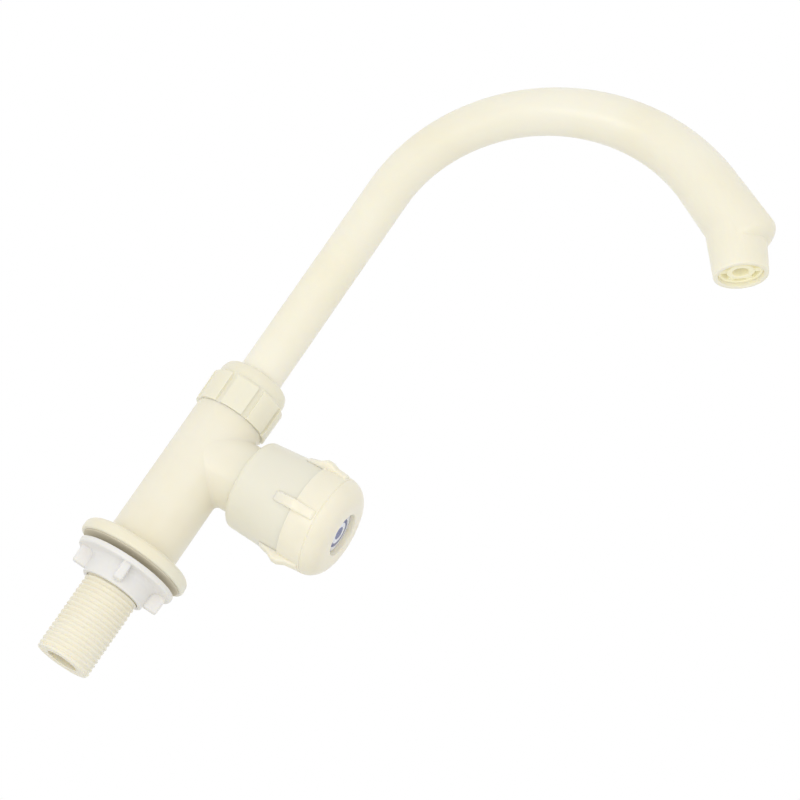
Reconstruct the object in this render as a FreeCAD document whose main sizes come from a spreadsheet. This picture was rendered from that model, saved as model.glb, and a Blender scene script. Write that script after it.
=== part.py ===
import FreeCAD, Part
import os
import re

import Sketcher

# Plastic deck tap with a swivelling gooseneck spout and a quarter-turn side valve.
# Millimetres. Z runs up the shank from the deck plane, X runs out along the side branch.

SIZES = {
    # Shank, deck gasket and lock nut
    "thread_radius": 10.4775,
    "runout_radius": 10.2,
    "shank_length": 42.1,
    "shank_lead": 1.0,
    "inlet_radius": 6.0,
    "gasket_thickness": 1.7,
    "gasket_stand": 0.5,
    "gasket_radius": 19.8,
    "gasket_gap": 0.2,
    "nut_drop": 2.05,
    "nut_face_radius": 19.4,
    "nut_face_thickness": 2.0,
    "nut_height": 9.7,
    "nut_hub_radius": 12.2,
    "nut_fillet": 1.2,
    "wing_reach": 17.7,
    "wing_height": 8.5,
    "wing_width": 3.4,
    "wing_turn": 17.5,
    "wing_count": 4,
    # Flange and column of the body
    "flange_radius": 21.3,
    "flange_thickness": 5.0,
    "flange_low_round": 0.9,
    "flange_top_round": 2.6,
    "flange_fillet": 1.6,
    "column_radius": 13.3,
    "column_rise": 3.9,
    "spigot_radius": 11.7,
    "spigot_length": 11.0,
    "tail_seat_depth": 12.6,
    "upper_bore_radius": 5.7,
    "bore_partition": 2.0,
    # Side branch and its valve chamber
    "branch_height": 46.7,
    "neck_radius": 13.0,
    "branch_fillet": 1.8,
    "bell_start": 19.7,
    "bell_cone_length": 18.0,
    "bell_length": 23.9,
    "bell_back_radius": 16.8,
    "bell_front_radius": 18.0,
    "bell_round": 2.6,
    "chamber_radius": 13.2,
    "chamber_wall": 3.6,
    "seat_bore_radius": 4.5,
    "seat_boss_radius": 6.8,
    "seat_boss_length": 2.0,
    "bypass_radius": 2.2,
    "bypass_offset": 9.7,
    # Valve cartridge
    "seat_ring_thickness": 2.2,
    "seat_ring_wall": 2.1,
    "disc_radius": 8.6,
    "fixed_disc_thickness": 3.2,
    "moving_disc_thickness": 2.8,
    "port_inner": 1.0,
    "port_outer": 4.2,
    "port_half_angle": 36.0,
    "barrel_wall": 1.6,
    "barrel_lift": 0.6,
    "plug_length": 4.6,
    "window_width": 7.0,
    "hex_across_flats": 24.0,
    "hex_thickness": 2.5,
    "gland_radius": 7.0,
    "gland_length": 1.9,
    "spindle_radius": 4.0,
    "driver_radius": 7.6,
    "driver_thickness": 3.0,
    "dog_depth": 1.6,
    "dog_width": 3.0,
    "dog_inset": 1.2,
    "driver_floor": 1.0,
    "stop_slack": 1.0,
    "stop_tab_angle": 20.0,
    "quarter_turn": 90.0,
    "thrust_washer_thickness": 0.5,
    "spindle_flat": 3.2,
    "spindle_key_length": 3.6,
    "clip_thickness": 0.8,
    "clip_radius": 6.2,
    "clip_depth": 0.8,
    "clip_mouth_half": 2.4,
    "ring_section": 0.8,
    "ring_gap": 0.03,
    "spindle_ring_spacing": 3.2,
    "spindle_ring_back": 1.15,
    # Knob
    "knob_gap": 0.3,
    "knob_radius": 18.9,
    "knob_length": 15.5,
    "knob_wall": 2.6,
    "knob_round": 7.6,
    "knob_cavity_depth": 9.2,
    "knob_hub_radius": 6.6,
    "lug_gap": 0.4,
    "lug_tail": 8.0,
    "lug_tail_height": 0.5,
    "lug_heel": 3.4,
    "lug_heel_reach": 19.7,
    "lug_crest_back": 0.8,
    "lug_crest_front": 1.2,
    "lug_reach": 21.2,
    "lug_ridge": 4.0,
    "lug_ridge_reach": 20.0,
    "lug_length": 8.6,
    "lug_front_reach": 19.6,
    "lug_width": 6.0,
    "lug_turn": 5.0,
    "lug_count": 5,
    "ring_groove_back": 5.9,
    "ring_groove_width": 0.7,
    "ring_groove_depth": 0.55,
    "recess_radius": 7.9,
    "recess_depth": 2.7,
    "button_thickness": 1.0,
    "button_crown": 0.4,
    "button_slope": 0.3,
    "button_slope_radius": 5.9,
    "button_flat_radius": 2.6,
    "screw_radius": 2.0,
    "screw_length": 9.0,
    "screw_head_radius": 3.6,
    "screw_head_height": 2.0,
    "screw_slot_width": 0.9,
    "screw_slot_reach": 4.5,
    "screw_slot_depth": 1.0,
    # Collar nut and the spout's retainer
    "collar_foot_radius": 14.5,
    "collar_radius": 14.7,
    "collar_skirt": 11.8,
    "collar_skirt_round": 0.7,
    "collar_step": 1.2,
    "collar_dome_radius": 13.35,
    "collar_height": 18.4,
    "collar_shoulder": 3.3,
    "collar_top_radius": 12.2,
    "collar_round": 2.6,
    "channel_width": 4.4,
    "channel_floor_width": 2.4,
    "channel_stand": 0.15,
    "channel_turn": 33.5,
    "channel_count": 8,
    "slip_washer_thickness": 0.8,
    "split_ring_thickness": 1.6,
    "split_ring_reach": 10.7,
    "split_ring_depth": 1.0,
    "split_ring_gap": 4.0,
    # Spout
    "tube_radius": 8.3,
    "tube_wall": 2.6,
    "tail_ring_low": 3.0,
    "tail_ring_spacing": 4.4,
    "bend_height": 171.0,
    "bend_radius": 69.0,
    "bend_angle": 118.5,
    "end_radius": 11.3,
    "end_swell": 0.6,
    "end_length": 26.2,
    "end_dome": 6.0,
    "nozzle_angle": 145.0,
    "nozzle_set_back": 8.1,
    "nozzle_length": 22.0,
    "nozzle_radius": 10.2,
    "nozzle_draft": 1.2,
    "nozzle_wall": 1.8,
    "straightener_height": 5.0,
    "straightener_set_in": 1.6,
    "straightener_rim": 1.1,
    "straightener_hub_radius": 4.6,
    "straightener_hole_radius": 3.1,
    "straightener_rib": 1.4,
    "straightener_rib_height": 3.8,
    "straightener_rib_root": 0.6,
    "straightener_rib_count": 6,
    # Running and seating clearances
    "running_gap": 0.05,
    "seat_gap": 0.1,
    # How far joined features run into each other, and how far a cut runs past a face
    "overlap": 1.0,
    "cut_past": 1.0,
}

doc = FreeCAD.newDocument("kitchen_faucet")


# Driving dimensions

def make_sheet():
    """Write every driving dimension to the sheet, its name as alias."""
    table = doc.addObject("Spreadsheet::Sheet", "Sizes")
    for row, (alias, number) in enumerate(SIZES.items(), start=1):
        table.set(f"A{row}", alias)
        table.set(f"B{row}", str(number))
        table.setAlias(f"B{row}", alias)
    doc.recompute()
    return table


sheet = make_sheet()

# Places worked out from the driving dimensions, as expressions on them
PLACES = {
    "flange_low": "gasket_stand",
    "flange_top": "flange_low + flange_thickness",
    "nut_face": "-nut_drop",
    "nut_rim": "nut_face - nut_face_thickness",
    "nut_foot": "nut_face - nut_height",
    "wing_foot": "nut_face - wing_height",
    "thread_top": "nut_foot - shank_lead",
    "column_top": "branch_height + neck_radius + column_rise",
    "spigot_top": "column_top + spigot_length",
    "tail_seat": "spigot_top - tail_seat_depth",
    "tail_bore": "tube_radius + running_gap",
    "lower_bore_top": "branch_height + seat_bore_radius",
    "upper_bore_floor": "lower_bore_top + bore_partition",
    "bell_mouth": "bell_start + bell_length",
    "chamber_floor": "bell_start + chamber_wall",
    "seat_face": "chamber_floor + seat_boss_length",
    "fixed_disc_start": "seat_face + seat_ring_thickness",
    "moving_disc_start": "fixed_disc_start + fixed_disc_thickness",
    "driver_start": "moving_disc_start + moving_disc_thickness",
    "driver_end": "driver_start + driver_thickness",
    "thrust_face": "driver_end + thrust_washer_thickness + running_gap",
    "disc_bore": "disc_radius + seat_gap",
    "driver_bore": "driver_radius + seat_gap",
    "barrel_radius": "disc_bore + barrel_wall",
    "barrel_start": "chamber_floor + barrel_lift",
    "dog_inner": "port_outer + dog_inset",
    "tab_reach": "disc_bore - 2 * seat_gap",
    "plug_start": "bell_mouth - plug_length",
    "plug_radius": "chamber_radius - running_gap",
    "hex_end": "bell_mouth + hex_thickness",
    "gland_end": "hex_end + gland_length",
    "clip_start": "gland_end + seat_gap",
    "clip_end": "clip_start + clip_thickness",
    "knob_rear": "bell_mouth + knob_gap",
    "knob_front": "knob_rear + knob_length",
    "cavity_floor": "knob_rear + knob_cavity_depth",
    "hub_rear": "clip_end + knob_gap",
    "recess_floor": "knob_front - recess_depth",
    "screw_seat": "recess_floor - screw_head_height - seat_gap",
    "spindle_end": "hub_rear + spindle_key_length",
    "ring_room": "2 * (ring_section + ring_gap)",
    "ring_inner": "spindle_radius + running_gap - ring_room",
    "skirt_top": "column_top + collar_skirt",
    "collar_top": "column_top + collar_height",
    "collar_bore": "spigot_radius + running_gap",
    "slip_top": "spigot_top + slip_washer_thickness",
    "split_ring_low": "slip_top + running_gap",
    "split_ring_top": "split_ring_low + split_ring_thickness",
    "lip_low": "split_ring_top + running_gap",
    "tail_low": "tail_seat + seat_gap",
}


def bound(text):
    """Turn an expression in words into one on the sheet's cells."""
    def swap(match):
        word = match.group(0)
        if word in PLACES:
            return "(" + bound(PLACES[word]) + ")"
        return "Sizes." + word if word in SIZES else word
    return re.sub(r"[a-z][a-z_]*", swap, text)


def size(text):
    """The value of an expression in words."""
    found = sheet.evalExpression(bound(text))
    return float(getattr(found, "Value", found))


def tie(thing, path, text):
    """Bind a property of a document object to an expression in words."""
    thing.setExpression(path, bound(text))


# Sketches

def origin_feature(body, role):
    """One of a body's own origin planes or axes."""
    return next(item for item in body.Origin.OriginFeatures if item.Role == role)


def new_body(label):
    """An empty body whose label names its node."""
    body = doc.addObject("PartDesign::Body", label)
    body.Label = label
    return body


def new_sketch(body, name, plane="XZ_Plane", base=("0", "0", "0"), turn=None, turn_axis=(0, 0, 1)):
    """A sketch on a body's own plane, moved and turned within it by expressions."""
    sketch = body.newObject("Sketcher::SketchObject", name)
    sketch.AttachmentSupport = (origin_feature(body, plane), [""])
    sketch.MapMode = "FlatFace"
    angle = size(turn) if turn else 0.0
    place = FreeCAD.Vector(*[size(step) for step in base])
    sketch.AttachmentOffset = FreeCAD.Placement(place, FreeCAD.Rotation(FreeCAD.Vector(*turn_axis), angle))
    for axis, step in zip("xyz", base):
        if step != "0":
            tie(sketch, f"AttachmentOffset.Base.{axis}", step)
    if turn:
        tie(sketch, "AttachmentOffset.Rotation.Angle", turn)
    return sketch


def pin_point(sketch, edge, end, across, up):
    """Fix a sketch point at two expressions, each measured from the sketch's origin."""
    for kind, text, axis_line in (("DistanceX", across, -2), ("DistanceY", up, -1)):
        if text == "0":
            sketch.addConstraint(Sketcher.Constraint("PointOnObject", edge, end, axis_line))
        else:
            index = sketch.addConstraint(Sketcher.Constraint(kind, -1, 1, edge, end, size(text)))
            tie(sketch, f"Constraints[{index}]", text)


def draw_outline(sketch, corners):
    """A closed outline of straight edges through corners given as expressions."""
    points = [FreeCAD.Vector(size(across), size(up), 0) for across, up in corners]
    first = sketch.GeometryCount
    count = len(points)
    for index, point in enumerate(points):
        sketch.addGeometry(Part.LineSegment(point, points[(index + 1) % count]), False)
    for index in range(count):
        following = first + (index + 1) % count
        sketch.addConstraint(Sketcher.Constraint("Coincident", first + index, 2, following, 1))
    for index, (across, up) in enumerate(corners):
        pin_point(sketch, first + index, 1, across, up)


def draw_circle(sketch, radius, across="0", up="0"):
    """A circle with its centre and radius given as expressions."""
    centre = FreeCAD.Vector(size(across), size(up), 0)
    edge = sketch.addGeometry(Part.Circle(centre, FreeCAD.Vector(0, 0, 1), size(radius)), False)
    pin_point(sketch, edge, 3, across, up)
    index = sketch.addConstraint(Sketcher.Constraint("Radius", edge, size(radius)))
    tie(sketch, f"Constraints[{index}]", radius)


def axis_sketch(body, name):
    """A sketch whose horizontal axis is the branch axis."""
    return new_sketch(body, name, base=("0", "branch_height", "0"))


# Features

def revolve(body, name, sketch, axis="V_Axis", kind="PartDesign::Revolution"):
    """Turn a sketch once round one of its own axes."""
    feature = body.newObject(kind, name)
    feature.Profile = sketch
    feature.ReferenceAxis = (sketch, [axis])
    feature.Angle = 360.0
    doc.recompute()
    return feature


def groove(body, name, sketch, axis="V_Axis"):
    """Cut a sketch once round one of its own axes."""
    return revolve(body, name, sketch, axis, "PartDesign::Groove")


def pad(body, name, sketch, length, midplane=False, back=False):
    """Raise a sketch by a length along its normal."""
    feature = body.newObject("PartDesign::Pad", name)
    feature.Profile = sketch
    feature.Length = size(length)
    tie(feature, "Length", length)
    feature.SideType = "Symmetric" if midplane else "One side"
    feature.Reversed = back
    doc.recompute()
    return feature


def pocket(body, name, sketch, length, midplane=False, forward=False):
    """Cut a sketch to a depth against its normal, or along it when forward."""
    before = body.Shape.Volume
    feature = body.newObject("PartDesign::Pocket", name)
    feature.Profile = sketch
    feature.Length = size(length)
    tie(feature, "Length", length)
    feature.SideType = "Symmetric" if midplane else "One side"
    feature.Reversed = forward
    doc.recompute()
    if feature.Shape.Volume >= before:
        raise RuntimeError(f"{name} cuts nothing")
    return feature


def repeat_round(body, name, features, axis, count):
    """Repeat features evenly round an axis."""
    pattern = body.newObject("PartDesign::PolarPattern", name)
    pattern.Originals = features
    pattern.Axis = axis
    pattern.Angle = 360.0
    pattern.Occurrences = int(round(size(count)))
    tie(pattern, "Occurrences", count)
    body.Tip = pattern
    doc.recompute()
    return pattern


# How closely an edge found on a shape has to agree with the one looked for
SAME_DIRECTION = 1e-6
SAME_PLACE = 1e-3


def ring_edges(shape, axis, rings):
    """Names of the full circles round an axis at the given (place along the axis, radius) pairs."""
    names = []
    for index, edge in enumerate(shape.Edges, start=1):
        curve = edge.Curve
        if not isinstance(curve, Part.Circle):
            continue
        if abs(abs(curve.Axis.dot(axis)) - 1.0) > SAME_DIRECTION:
            continue
        along = curve.Center.dot(axis)
        for place, radius in rings:
            if abs(along - size(place)) < SAME_PLACE and abs(curve.Radius - size(radius)) < SAME_PLACE:
                names.append(f"Edge{index}")
    if not names:
        raise RuntimeError("no edge to round")
    return names


def round_edges(body, name, edges, radius, kind="PartDesign::Fillet"):
    """Fillet or chamfer named edges of a body's newest feature."""
    base = body.Tip
    feature = body.newObject(kind, name)
    feature.Base = (base, edges)
    prop = "Radius" if kind == "PartDesign::Fillet" else "Size"
    setattr(feature, prop, size(radius))
    tie(feature, prop, radius)
    doc.recompute()
    return feature


def ring_node(label, inner, outer, low, thickness, along_branch=False):
    """A flat ring round the shank axis, or round the branch axis."""
    body = new_body(label)
    if along_branch:
        sketch = new_sketch(body, label + "_outline", "YZ_Plane", ("0", "branch_height", low))
    else:
        sketch = new_sketch(body, label + "_outline", "XY_Plane", ("0", "0", low))
    draw_circle(sketch, outer)
    draw_circle(sketch, inner)
    pad(body, label + "_ring", sketch, thickness)
    return body


Z_AXIS = FreeCAD.Vector(0, 0, 1)
X_AXIS = FreeCAD.Vector(1, 0, 0)


# Body: threaded shank, flange, column, spigot and valve chamber in one moulding

def make_valve_body():
    body = new_body("valve_body")
    outline = new_sketch(body, "column_outline")
    draw_outline(outline, [
        ("0", "-shank_length"),
        ("thread_radius - shank_lead", "-shank_length"),
        ("thread_radius", "shank_lead - shank_length"),
        ("thread_radius", "thread_top"),
        ("runout_radius", "thread_top"),
        ("runout_radius", "gasket_thickness"),
        ("gasket_radius + seat_gap", "gasket_thickness"),
        ("gasket_radius + seat_gap", "flange_low"),
        ("flange_radius", "flange_low"),
        ("flange_radius", "flange_top"),
        ("column_radius", "flange_top"),
        ("column_radius", "column_top"),
        ("spigot_radius", "column_top"),
        ("spigot_radius", "spigot_top"),
        ("0", "spigot_top"),
    ])
    revolve(body, "column", outline)

    branch = axis_sketch(body, "branch_outline")
    draw_outline(branch, [
        ("0", "0"),
        ("0", "neck_radius"),
        ("bell_start", "neck_radius"),
        ("bell_start", "bell_back_radius"),
        ("bell_start + bell_cone_length", "bell_front_radius"),
        ("bell_mouth", "bell_front_radius"),
        ("bell_mouth", "0"),
    ])
    revolve(body, "branch", branch, "H_Axis")

    saddle = [
        f"Edge{index}" for index, edge in enumerate(body.Shape.Edges, start=1)
        if isinstance(edge.Curve, Part.BSplineCurve)
    ]
    round_edges(body, "branch_root", saddle, "branch_fillet")
    shape = body.Shape
    round_edges(body, "flange_top_edge", ring_edges(shape, Z_AXIS, [("flange_top", "flange_radius")]),
                "flange_top_round")
    shape = body.Shape
    round_edges(body, "flange_low_edge", ring_edges(shape, Z_AXIS, [("flange_low", "flange_radius")]),
                "flange_low_round")
    shape = body.Shape
    round_edges(body, "flange_root", ring_edges(shape, Z_AXIS, [("flange_top", "column_radius")]),
                "flange_fillet")
    shape = body.Shape
    round_edges(body, "bell_back_edge", ring_edges(shape, X_AXIS, [("bell_start", "bell_back_radius")]),
                "bell_round")

    inlet = new_sketch(body, "inlet_outline")
    draw_outline(inlet, [
        ("0", "-shank_length"),
        ("inlet_radius", "-shank_length"),
        ("inlet_radius", "lower_bore_top"),
        ("0", "lower_bore_top"),
    ])
    groove(body, "inlet_bore", inlet)

    chamber = axis_sketch(body, "chamber_outline")
    draw_outline(chamber, [
        ("0", "0"),
        ("0", "seat_bore_radius"),
        ("seat_face", "seat_bore_radius"),
        ("seat_face", "seat_boss_radius"),
        ("chamber_floor", "seat_boss_radius"),
        ("chamber_floor", "chamber_radius"),
        ("bell_mouth", "chamber_radius"),
        ("bell_mouth", "0"),
    ])
    groove(body, "chamber", chamber, "H_Axis")

    outlet = new_sketch(body, "outlet_outline")
    draw_outline(outlet, [
        ("0", "upper_bore_floor"),
        ("upper_bore_radius", "upper_bore_floor"),
        ("upper_bore_radius", "tail_seat"),
        ("tail_bore", "tail_seat"),
        ("tail_bore", "spigot_top"),
        ("0", "spigot_top"),
    ])
    groove(body, "outlet_bore", outlet)

    bypass = new_sketch(body, "bypass_outline", "YZ_Plane", ("0", "branch_height", "0"))
    draw_circle(bypass, "bypass_radius", "0", "bypass_offset")
    pocket(body, "bypass", bypass, "seat_face", forward=True)
    return body


def make_deck_gasket():
    return ring_node("deck_gasket", "thread_radius + gasket_gap", "gasket_radius", "0", "gasket_thickness")


def make_lock_nut():
    """Round face, hub and four wings for turning it by hand under the deck."""
    body = new_body("lock_nut")
    outline = new_sketch(body, "lock_nut_outline")
    draw_outline(outline, [
        ("thread_radius + running_gap", "nut_face"),
        ("nut_face_radius", "nut_face"),
        ("nut_face_radius", "nut_rim"),
        ("nut_hub_radius", "nut_rim"),
        ("nut_hub_radius", "nut_foot"),
        ("thread_radius + running_gap", "nut_foot"),
    ])
    revolve(body, "lock_nut_face", outline)
    wing = new_sketch(body, "wing_outline", "XY_Plane", ("0", "0", "wing_foot"), "wing_turn")
    draw_outline(wing, [
        ("thread_radius + overlap", "-wing_width / 2"),
        ("wing_reach", "-wing_width / 2"),
        ("wing_reach", "wing_width / 2"),
        ("thread_radius + overlap", "wing_width / 2"),
    ])
    blade = pad(body, "wing", wing, "wing_height - nut_face_thickness / 2")
    repeat_round(body, "wings", [blade], (outline, ["V_Axis"]), "wing_count")
    shape = body.Shape
    face = [("nut_face", "nut_face_radius"), ("nut_rim", "nut_face_radius")]
    round_edges(body, "lock_nut_rim", ring_edges(shape, Z_AXIS, face), "nut_fillet / 2")
    return body


# Collar nut that holds the spout down on the spigot

def make_spout_nut():
    """Domed collar nut over a flared skirt, with channels in the skirt for the fingers."""
    body = new_body("spout_nut")
    outline = new_sketch(body, "collar_outline")
    draw_outline(outline, [
        ("collar_bore", "column_top + running_gap"),
        ("collar_foot_radius", "column_top + running_gap"),
        ("collar_radius", "skirt_top"),
        ("collar_dome_radius", "skirt_top + collar_step"),
        ("collar_dome_radius", "collar_top - collar_shoulder"),
        ("collar_top_radius", "collar_top"),
        ("tube_radius + seat_gap", "collar_top"),
        ("tube_radius + seat_gap", "lip_low"),
        ("collar_bore", "lip_low"),
    ])
    revolve(body, "collar", outline)
    shape = body.Shape
    round_edges(body, "collar_top_edge", ring_edges(shape, Z_AXIS, [("collar_top", "collar_top_radius")]),
                "collar_round")
    shape = body.Shape
    round_edges(body, "skirt_top_edge", ring_edges(shape, Z_AXIS, [("skirt_top", "collar_radius")]),
                "collar_skirt_round")
    channel = new_sketch(body, "channel_outline", "XY_Plane", ("0", "0", "column_top"), "channel_turn")
    draw_outline(channel, [
        ("collar_dome_radius + channel_stand", "-channel_floor_width / 2"),
        ("collar_radius", "-channel_width / 2"),
        ("collar_radius + cut_past", "-channel_width / 2"),
        ("collar_radius + cut_past", "channel_width / 2"),
        ("collar_radius", "channel_width / 2"),
        ("collar_dome_radius + channel_stand", "channel_floor_width / 2"),
    ])
    cut = pocket(body, "channel", channel, "collar_skirt + collar_step", forward=True)
    repeat_round(body, "channels", [cut], (outline, ["V_Axis"]), "channel_count")
    return body


def make_spout_washer():
    return ring_node("spout_washer", "tube_radius + seat_gap", "split_ring_reach", "spigot_top",
                     "slip_washer_thickness")


def make_spout_split_ring():
    """A ring sprung into the spout's groove after the collar nut is on the tail."""
    bore = "tube_radius - split_ring_depth + running_gap"
    body = ring_node("spout_split_ring", bore, "split_ring_reach", "split_ring_low", "split_ring_thickness")
    gap = new_sketch(body, "split_outline", "XY_Plane", ("0", "0", "split_ring_low"))
    draw_outline(gap, [
        ("0", "-split_ring_gap / 2"),
        ("-split_ring_reach - cut_past", "-split_ring_gap / 2"),
        ("-split_ring_reach - cut_past", "split_ring_gap / 2"),
        ("0", "split_ring_gap / 2"),
    ])
    pocket(body, "split", gap, "split_ring_thickness", forward=True)
    return body


# Spout: straight tail, a bend that swells towards its end, a domed end and the nozzle

BEND_STATIONS = 12


def bend_section(body, name, share, radius):
    """A circle square to the bend, at a share of the bend's angle."""
    angle = f"{share} * bend_angle"
    reach = f"bend_radius * (1 - cos({angle}))"
    height = f"bend_height + bend_radius * sin({angle})"
    section = new_sketch(body, name, "XY_Plane", (reach, "0", height), angle, (0, 1, 0))
    draw_circle(section, radius)
    return section


def bend_loft(body, name, kind, wall):
    """A loft through the bend whose radius grows with the square of the way round."""
    sections = []
    for station in range(BEND_STATIONS + 1):
        share = station / BEND_STATIONS
        radius = f"tube_radius + (end_radius - tube_radius) * {share * share} - {wall}"
        sections.append(bend_section(body, f"{name}_section_{station}", share, radius))
    loft = body.newObject(kind, name)
    loft.Profile = sections[0]
    loft.Sections = sections[1:]
    doc.recompute()
    return loft


def end_sketch(body, name):
    """A sketch at the bend's far end, its vertical axis along the spout."""
    reach = "bend_radius * (1 - cos(bend_angle))"
    height = "bend_height + bend_radius * sin(bend_angle)"
    return new_sketch(body, name, "XZ_Plane", (reach, height, "0"), "-bend_angle")


def nozzle_sketch(body, name):
    """A sketch where the nozzle's axis meets the spout's, its vertical axis along the nozzle."""
    along = "(end_length - nozzle_set_back)"
    reach = f"bend_radius * (1 - cos(bend_angle)) + {along} * sin(bend_angle)"
    height = f"bend_height + bend_radius * sin(bend_angle) + {along} * cos(bend_angle)"
    return new_sketch(body, name, "XZ_Plane", (reach, height, "0"), "-nozzle_angle")


def draw_dome(sketch, start, low_radius, radius, rise, low):
    """A half outline: a tube that swells up to start, then a quarter of an ellipse to its axis."""
    steps = 8
    corners = [("0", low), (low_radius, low)]
    for step in range(steps):
        turn = 90.0 * step / steps
        corners.append((f"({radius}) * cos({turn})", f"{start} + ({rise}) * sin({turn})"))
    corners.append(("0", f"{start} + {rise}"))
    draw_outline(sketch, corners)


def make_spout():
    body = new_body("spout")
    tail = new_sketch(body, "tail_outline", "XY_Plane", ("0", "0", "tail_low"))
    draw_circle(tail, "tube_radius")
    pad(body, "tail", tail, "bend_height - tail_low")
    bend_loft(body, "bend", "PartDesign::AdditiveLoft", "0")
    end = end_sketch(body, "end_outline")
    draw_dome(end, "end_length", "end_radius", "end_radius + end_swell", "end_dome", "0")
    revolve(body, "end", end)
    nozzle = nozzle_sketch(body, "nozzle_outline")
    draw_outline(nozzle, [
        ("0", "0"),
        ("nozzle_radius + nozzle_draft", "0"),
        ("nozzle_radius", "nozzle_length"),
        ("0", "nozzle_length"),
    ])
    revolve(body, "nozzle", nozzle)

    tail_bore = new_sketch(body, "tail_bore_outline", "XY_Plane", ("0", "0", "tail_low"))
    draw_circle(tail_bore, "tube_radius - tube_wall")
    pocket(body, "tail_bore", tail_bore, "bend_height - tail_low", forward=True)
    bend_loft(body, "bend_bore", "PartDesign::SubtractiveLoft", "tube_wall")
    end_bore = end_sketch(body, "end_bore_outline")
    draw_dome(end_bore, "end_length", "end_radius - tube_wall", "end_radius + end_swell - tube_wall",
              "end_dome - tube_wall", "0")
    groove(body, "end_bore", end_bore)
    nozzle_bore = nozzle_sketch(body, "nozzle_bore_outline")
    draw_outline(nozzle_bore, [
        ("0", "0"),
        ("nozzle_radius - nozzle_wall", "0"),
        ("nozzle_radius - nozzle_wall", "nozzle_length"),
        ("0", "nozzle_length"),
    ])
    groove(body, "nozzle_bore", nozzle_bore)

    seats = new_sketch(body, "retainer_outline")
    draw_outline(seats, [
        ("tube_radius - split_ring_depth", "split_ring_low"),
        ("tube_radius + cut_past", "split_ring_low"),
        ("tube_radius + cut_past", "split_ring_top"),
        ("tube_radius - split_ring_depth", "split_ring_top"),
    ])
    groove(body, "retainer_groove", seats)
    for name, level in (("low", "0"), ("high", "tail_ring_spacing")):
        slot = new_sketch(body, f"{name}_ring_outline")
        middle = f"tail_low + tail_ring_low + {level}"
        draw_outline(slot, [
            ("tail_bore - ring_room", f"{middle} - ring_room / 2"),
            ("tube_radius + cut_past", f"{middle} - ring_room / 2"),
            ("tube_radius + cut_past", f"{middle} + ring_room / 2"),
            ("tail_bore - ring_room", f"{middle} + ring_room / 2"),
        ])
        groove(body, f"{name}_ring_groove", slot)
    return body


def ring_pair(label, centre_radius, places):
    """Two rubber rings as one node; each place gives a centre as three expressions and the axis."""
    rings = []
    for index, (centre, axis) in enumerate(places):
        ring = doc.addObject("Part::Torus", f"{label}_{index}")
        tie(ring, "Radius1", centre_radius)
        tie(ring, "Radius2", "ring_section")
        ring.Placement.Rotation = FreeCAD.Rotation(Z_AXIS, axis)
        for name, text in zip("xyz", centre):
            if text != "0":
                tie(ring, f"Placement.Base.{name}", text)
        rings.append(ring)
    group = doc.addObject("Part::Compound", label)
    group.Label = label
    group.Links = rings
    doc.recompute()
    return group


def make_spout_o_rings():
    low = "tail_low + tail_ring_low"
    places = [(("0", "0", low), Z_AXIS), (("0", "0", f"{low} + tail_ring_spacing"), Z_AXIS)]
    return ring_pair("spout_o_rings", "tail_bore - ring_room / 2", places)


def make_flow_straightener():
    """The insert in the nozzle: a rim, a tubular hub and ribs between them."""
    body = new_body("flow_straightener")
    start = "(nozzle_length - straightener_set_in - straightener_height)"
    outer = "(nozzle_radius - nozzle_wall - running_gap)"
    rim = nozzle_sketch(body, "rim_outline")
    draw_outline(rim, [
        (f"{outer} - straightener_rim", start),
        (outer, start),
        (outer, f"{start} + straightener_height"),
        (f"{outer} - straightener_rim", f"{start} + straightener_height"),
    ])
    revolve(body, "rim", rim)
    hub = nozzle_sketch(body, "hub_outline")
    draw_outline(hub, [
        ("straightener_hole_radius", start),
        ("straightener_hub_radius", start),
        ("straightener_hub_radius", f"{start} + straightener_height"),
        ("straightener_hole_radius", f"{start} + straightener_height"),
    ])
    rib = nozzle_sketch(body, "rib_outline")
    draw_outline(rib, [
        ("straightener_hub_radius - straightener_rib_root", start),
        (f"{outer} - straightener_rib_root", start),
        (f"{outer} - straightener_rib_root", f"{start} + straightener_rib_height"),
        ("straightener_hub_radius - straightener_rib_root", f"{start} + straightener_rib_height"),
    ])
    web = pad(body, "rib", rib, "straightener_rib", midplane=True)
    repeat_round(body, "ribs", [web], (rib, ["V_Axis"]), "straightener_rib_count")
    revolve(body, "hub", hub)
    return body


# Valve cartridge

def make_seat_ring():
    return ring_node("seat_ring", "seat_bore_radius", "seat_bore_radius + seat_ring_wall", "seat_face",
                     "seat_ring_thickness", along_branch=True)


def make_disc(label, start, thickness, turn):
    """A ceramic disc with two opposite ports."""
    body = new_body(label)
    face = new_sketch(body, label + "_outline", "YZ_Plane", ("0", "branch_height", start))
    draw_circle(face, "disc_radius")
    pad(body, label + "_plate", face, thickness)
    port = new_sketch(body, label + "_port", "YZ_Plane", ("0", "branch_height", start), turn)
    draw_outline(port, [
        ("port_inner * cos(port_half_angle)", "-port_inner * sin(port_half_angle)"),
        ("port_outer * cos(port_half_angle)", "-port_outer * sin(port_half_angle)"),
        ("port_outer", "0"),
        ("port_outer * cos(port_half_angle)", "port_outer * sin(port_half_angle)"),
        ("port_inner * cos(port_half_angle)", "port_inner * sin(port_half_angle)"),
    ])
    cut = pocket(body, label + "_opening", port, thickness, forward=True)
    repeat_round(body, label + "_ports", [cut], (face, ["N_Axis"]), "2")
    return body


def make_fixed_disc():
    return make_disc("fixed_disc", "fixed_disc_start", "fixed_disc_thickness", None)


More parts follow.
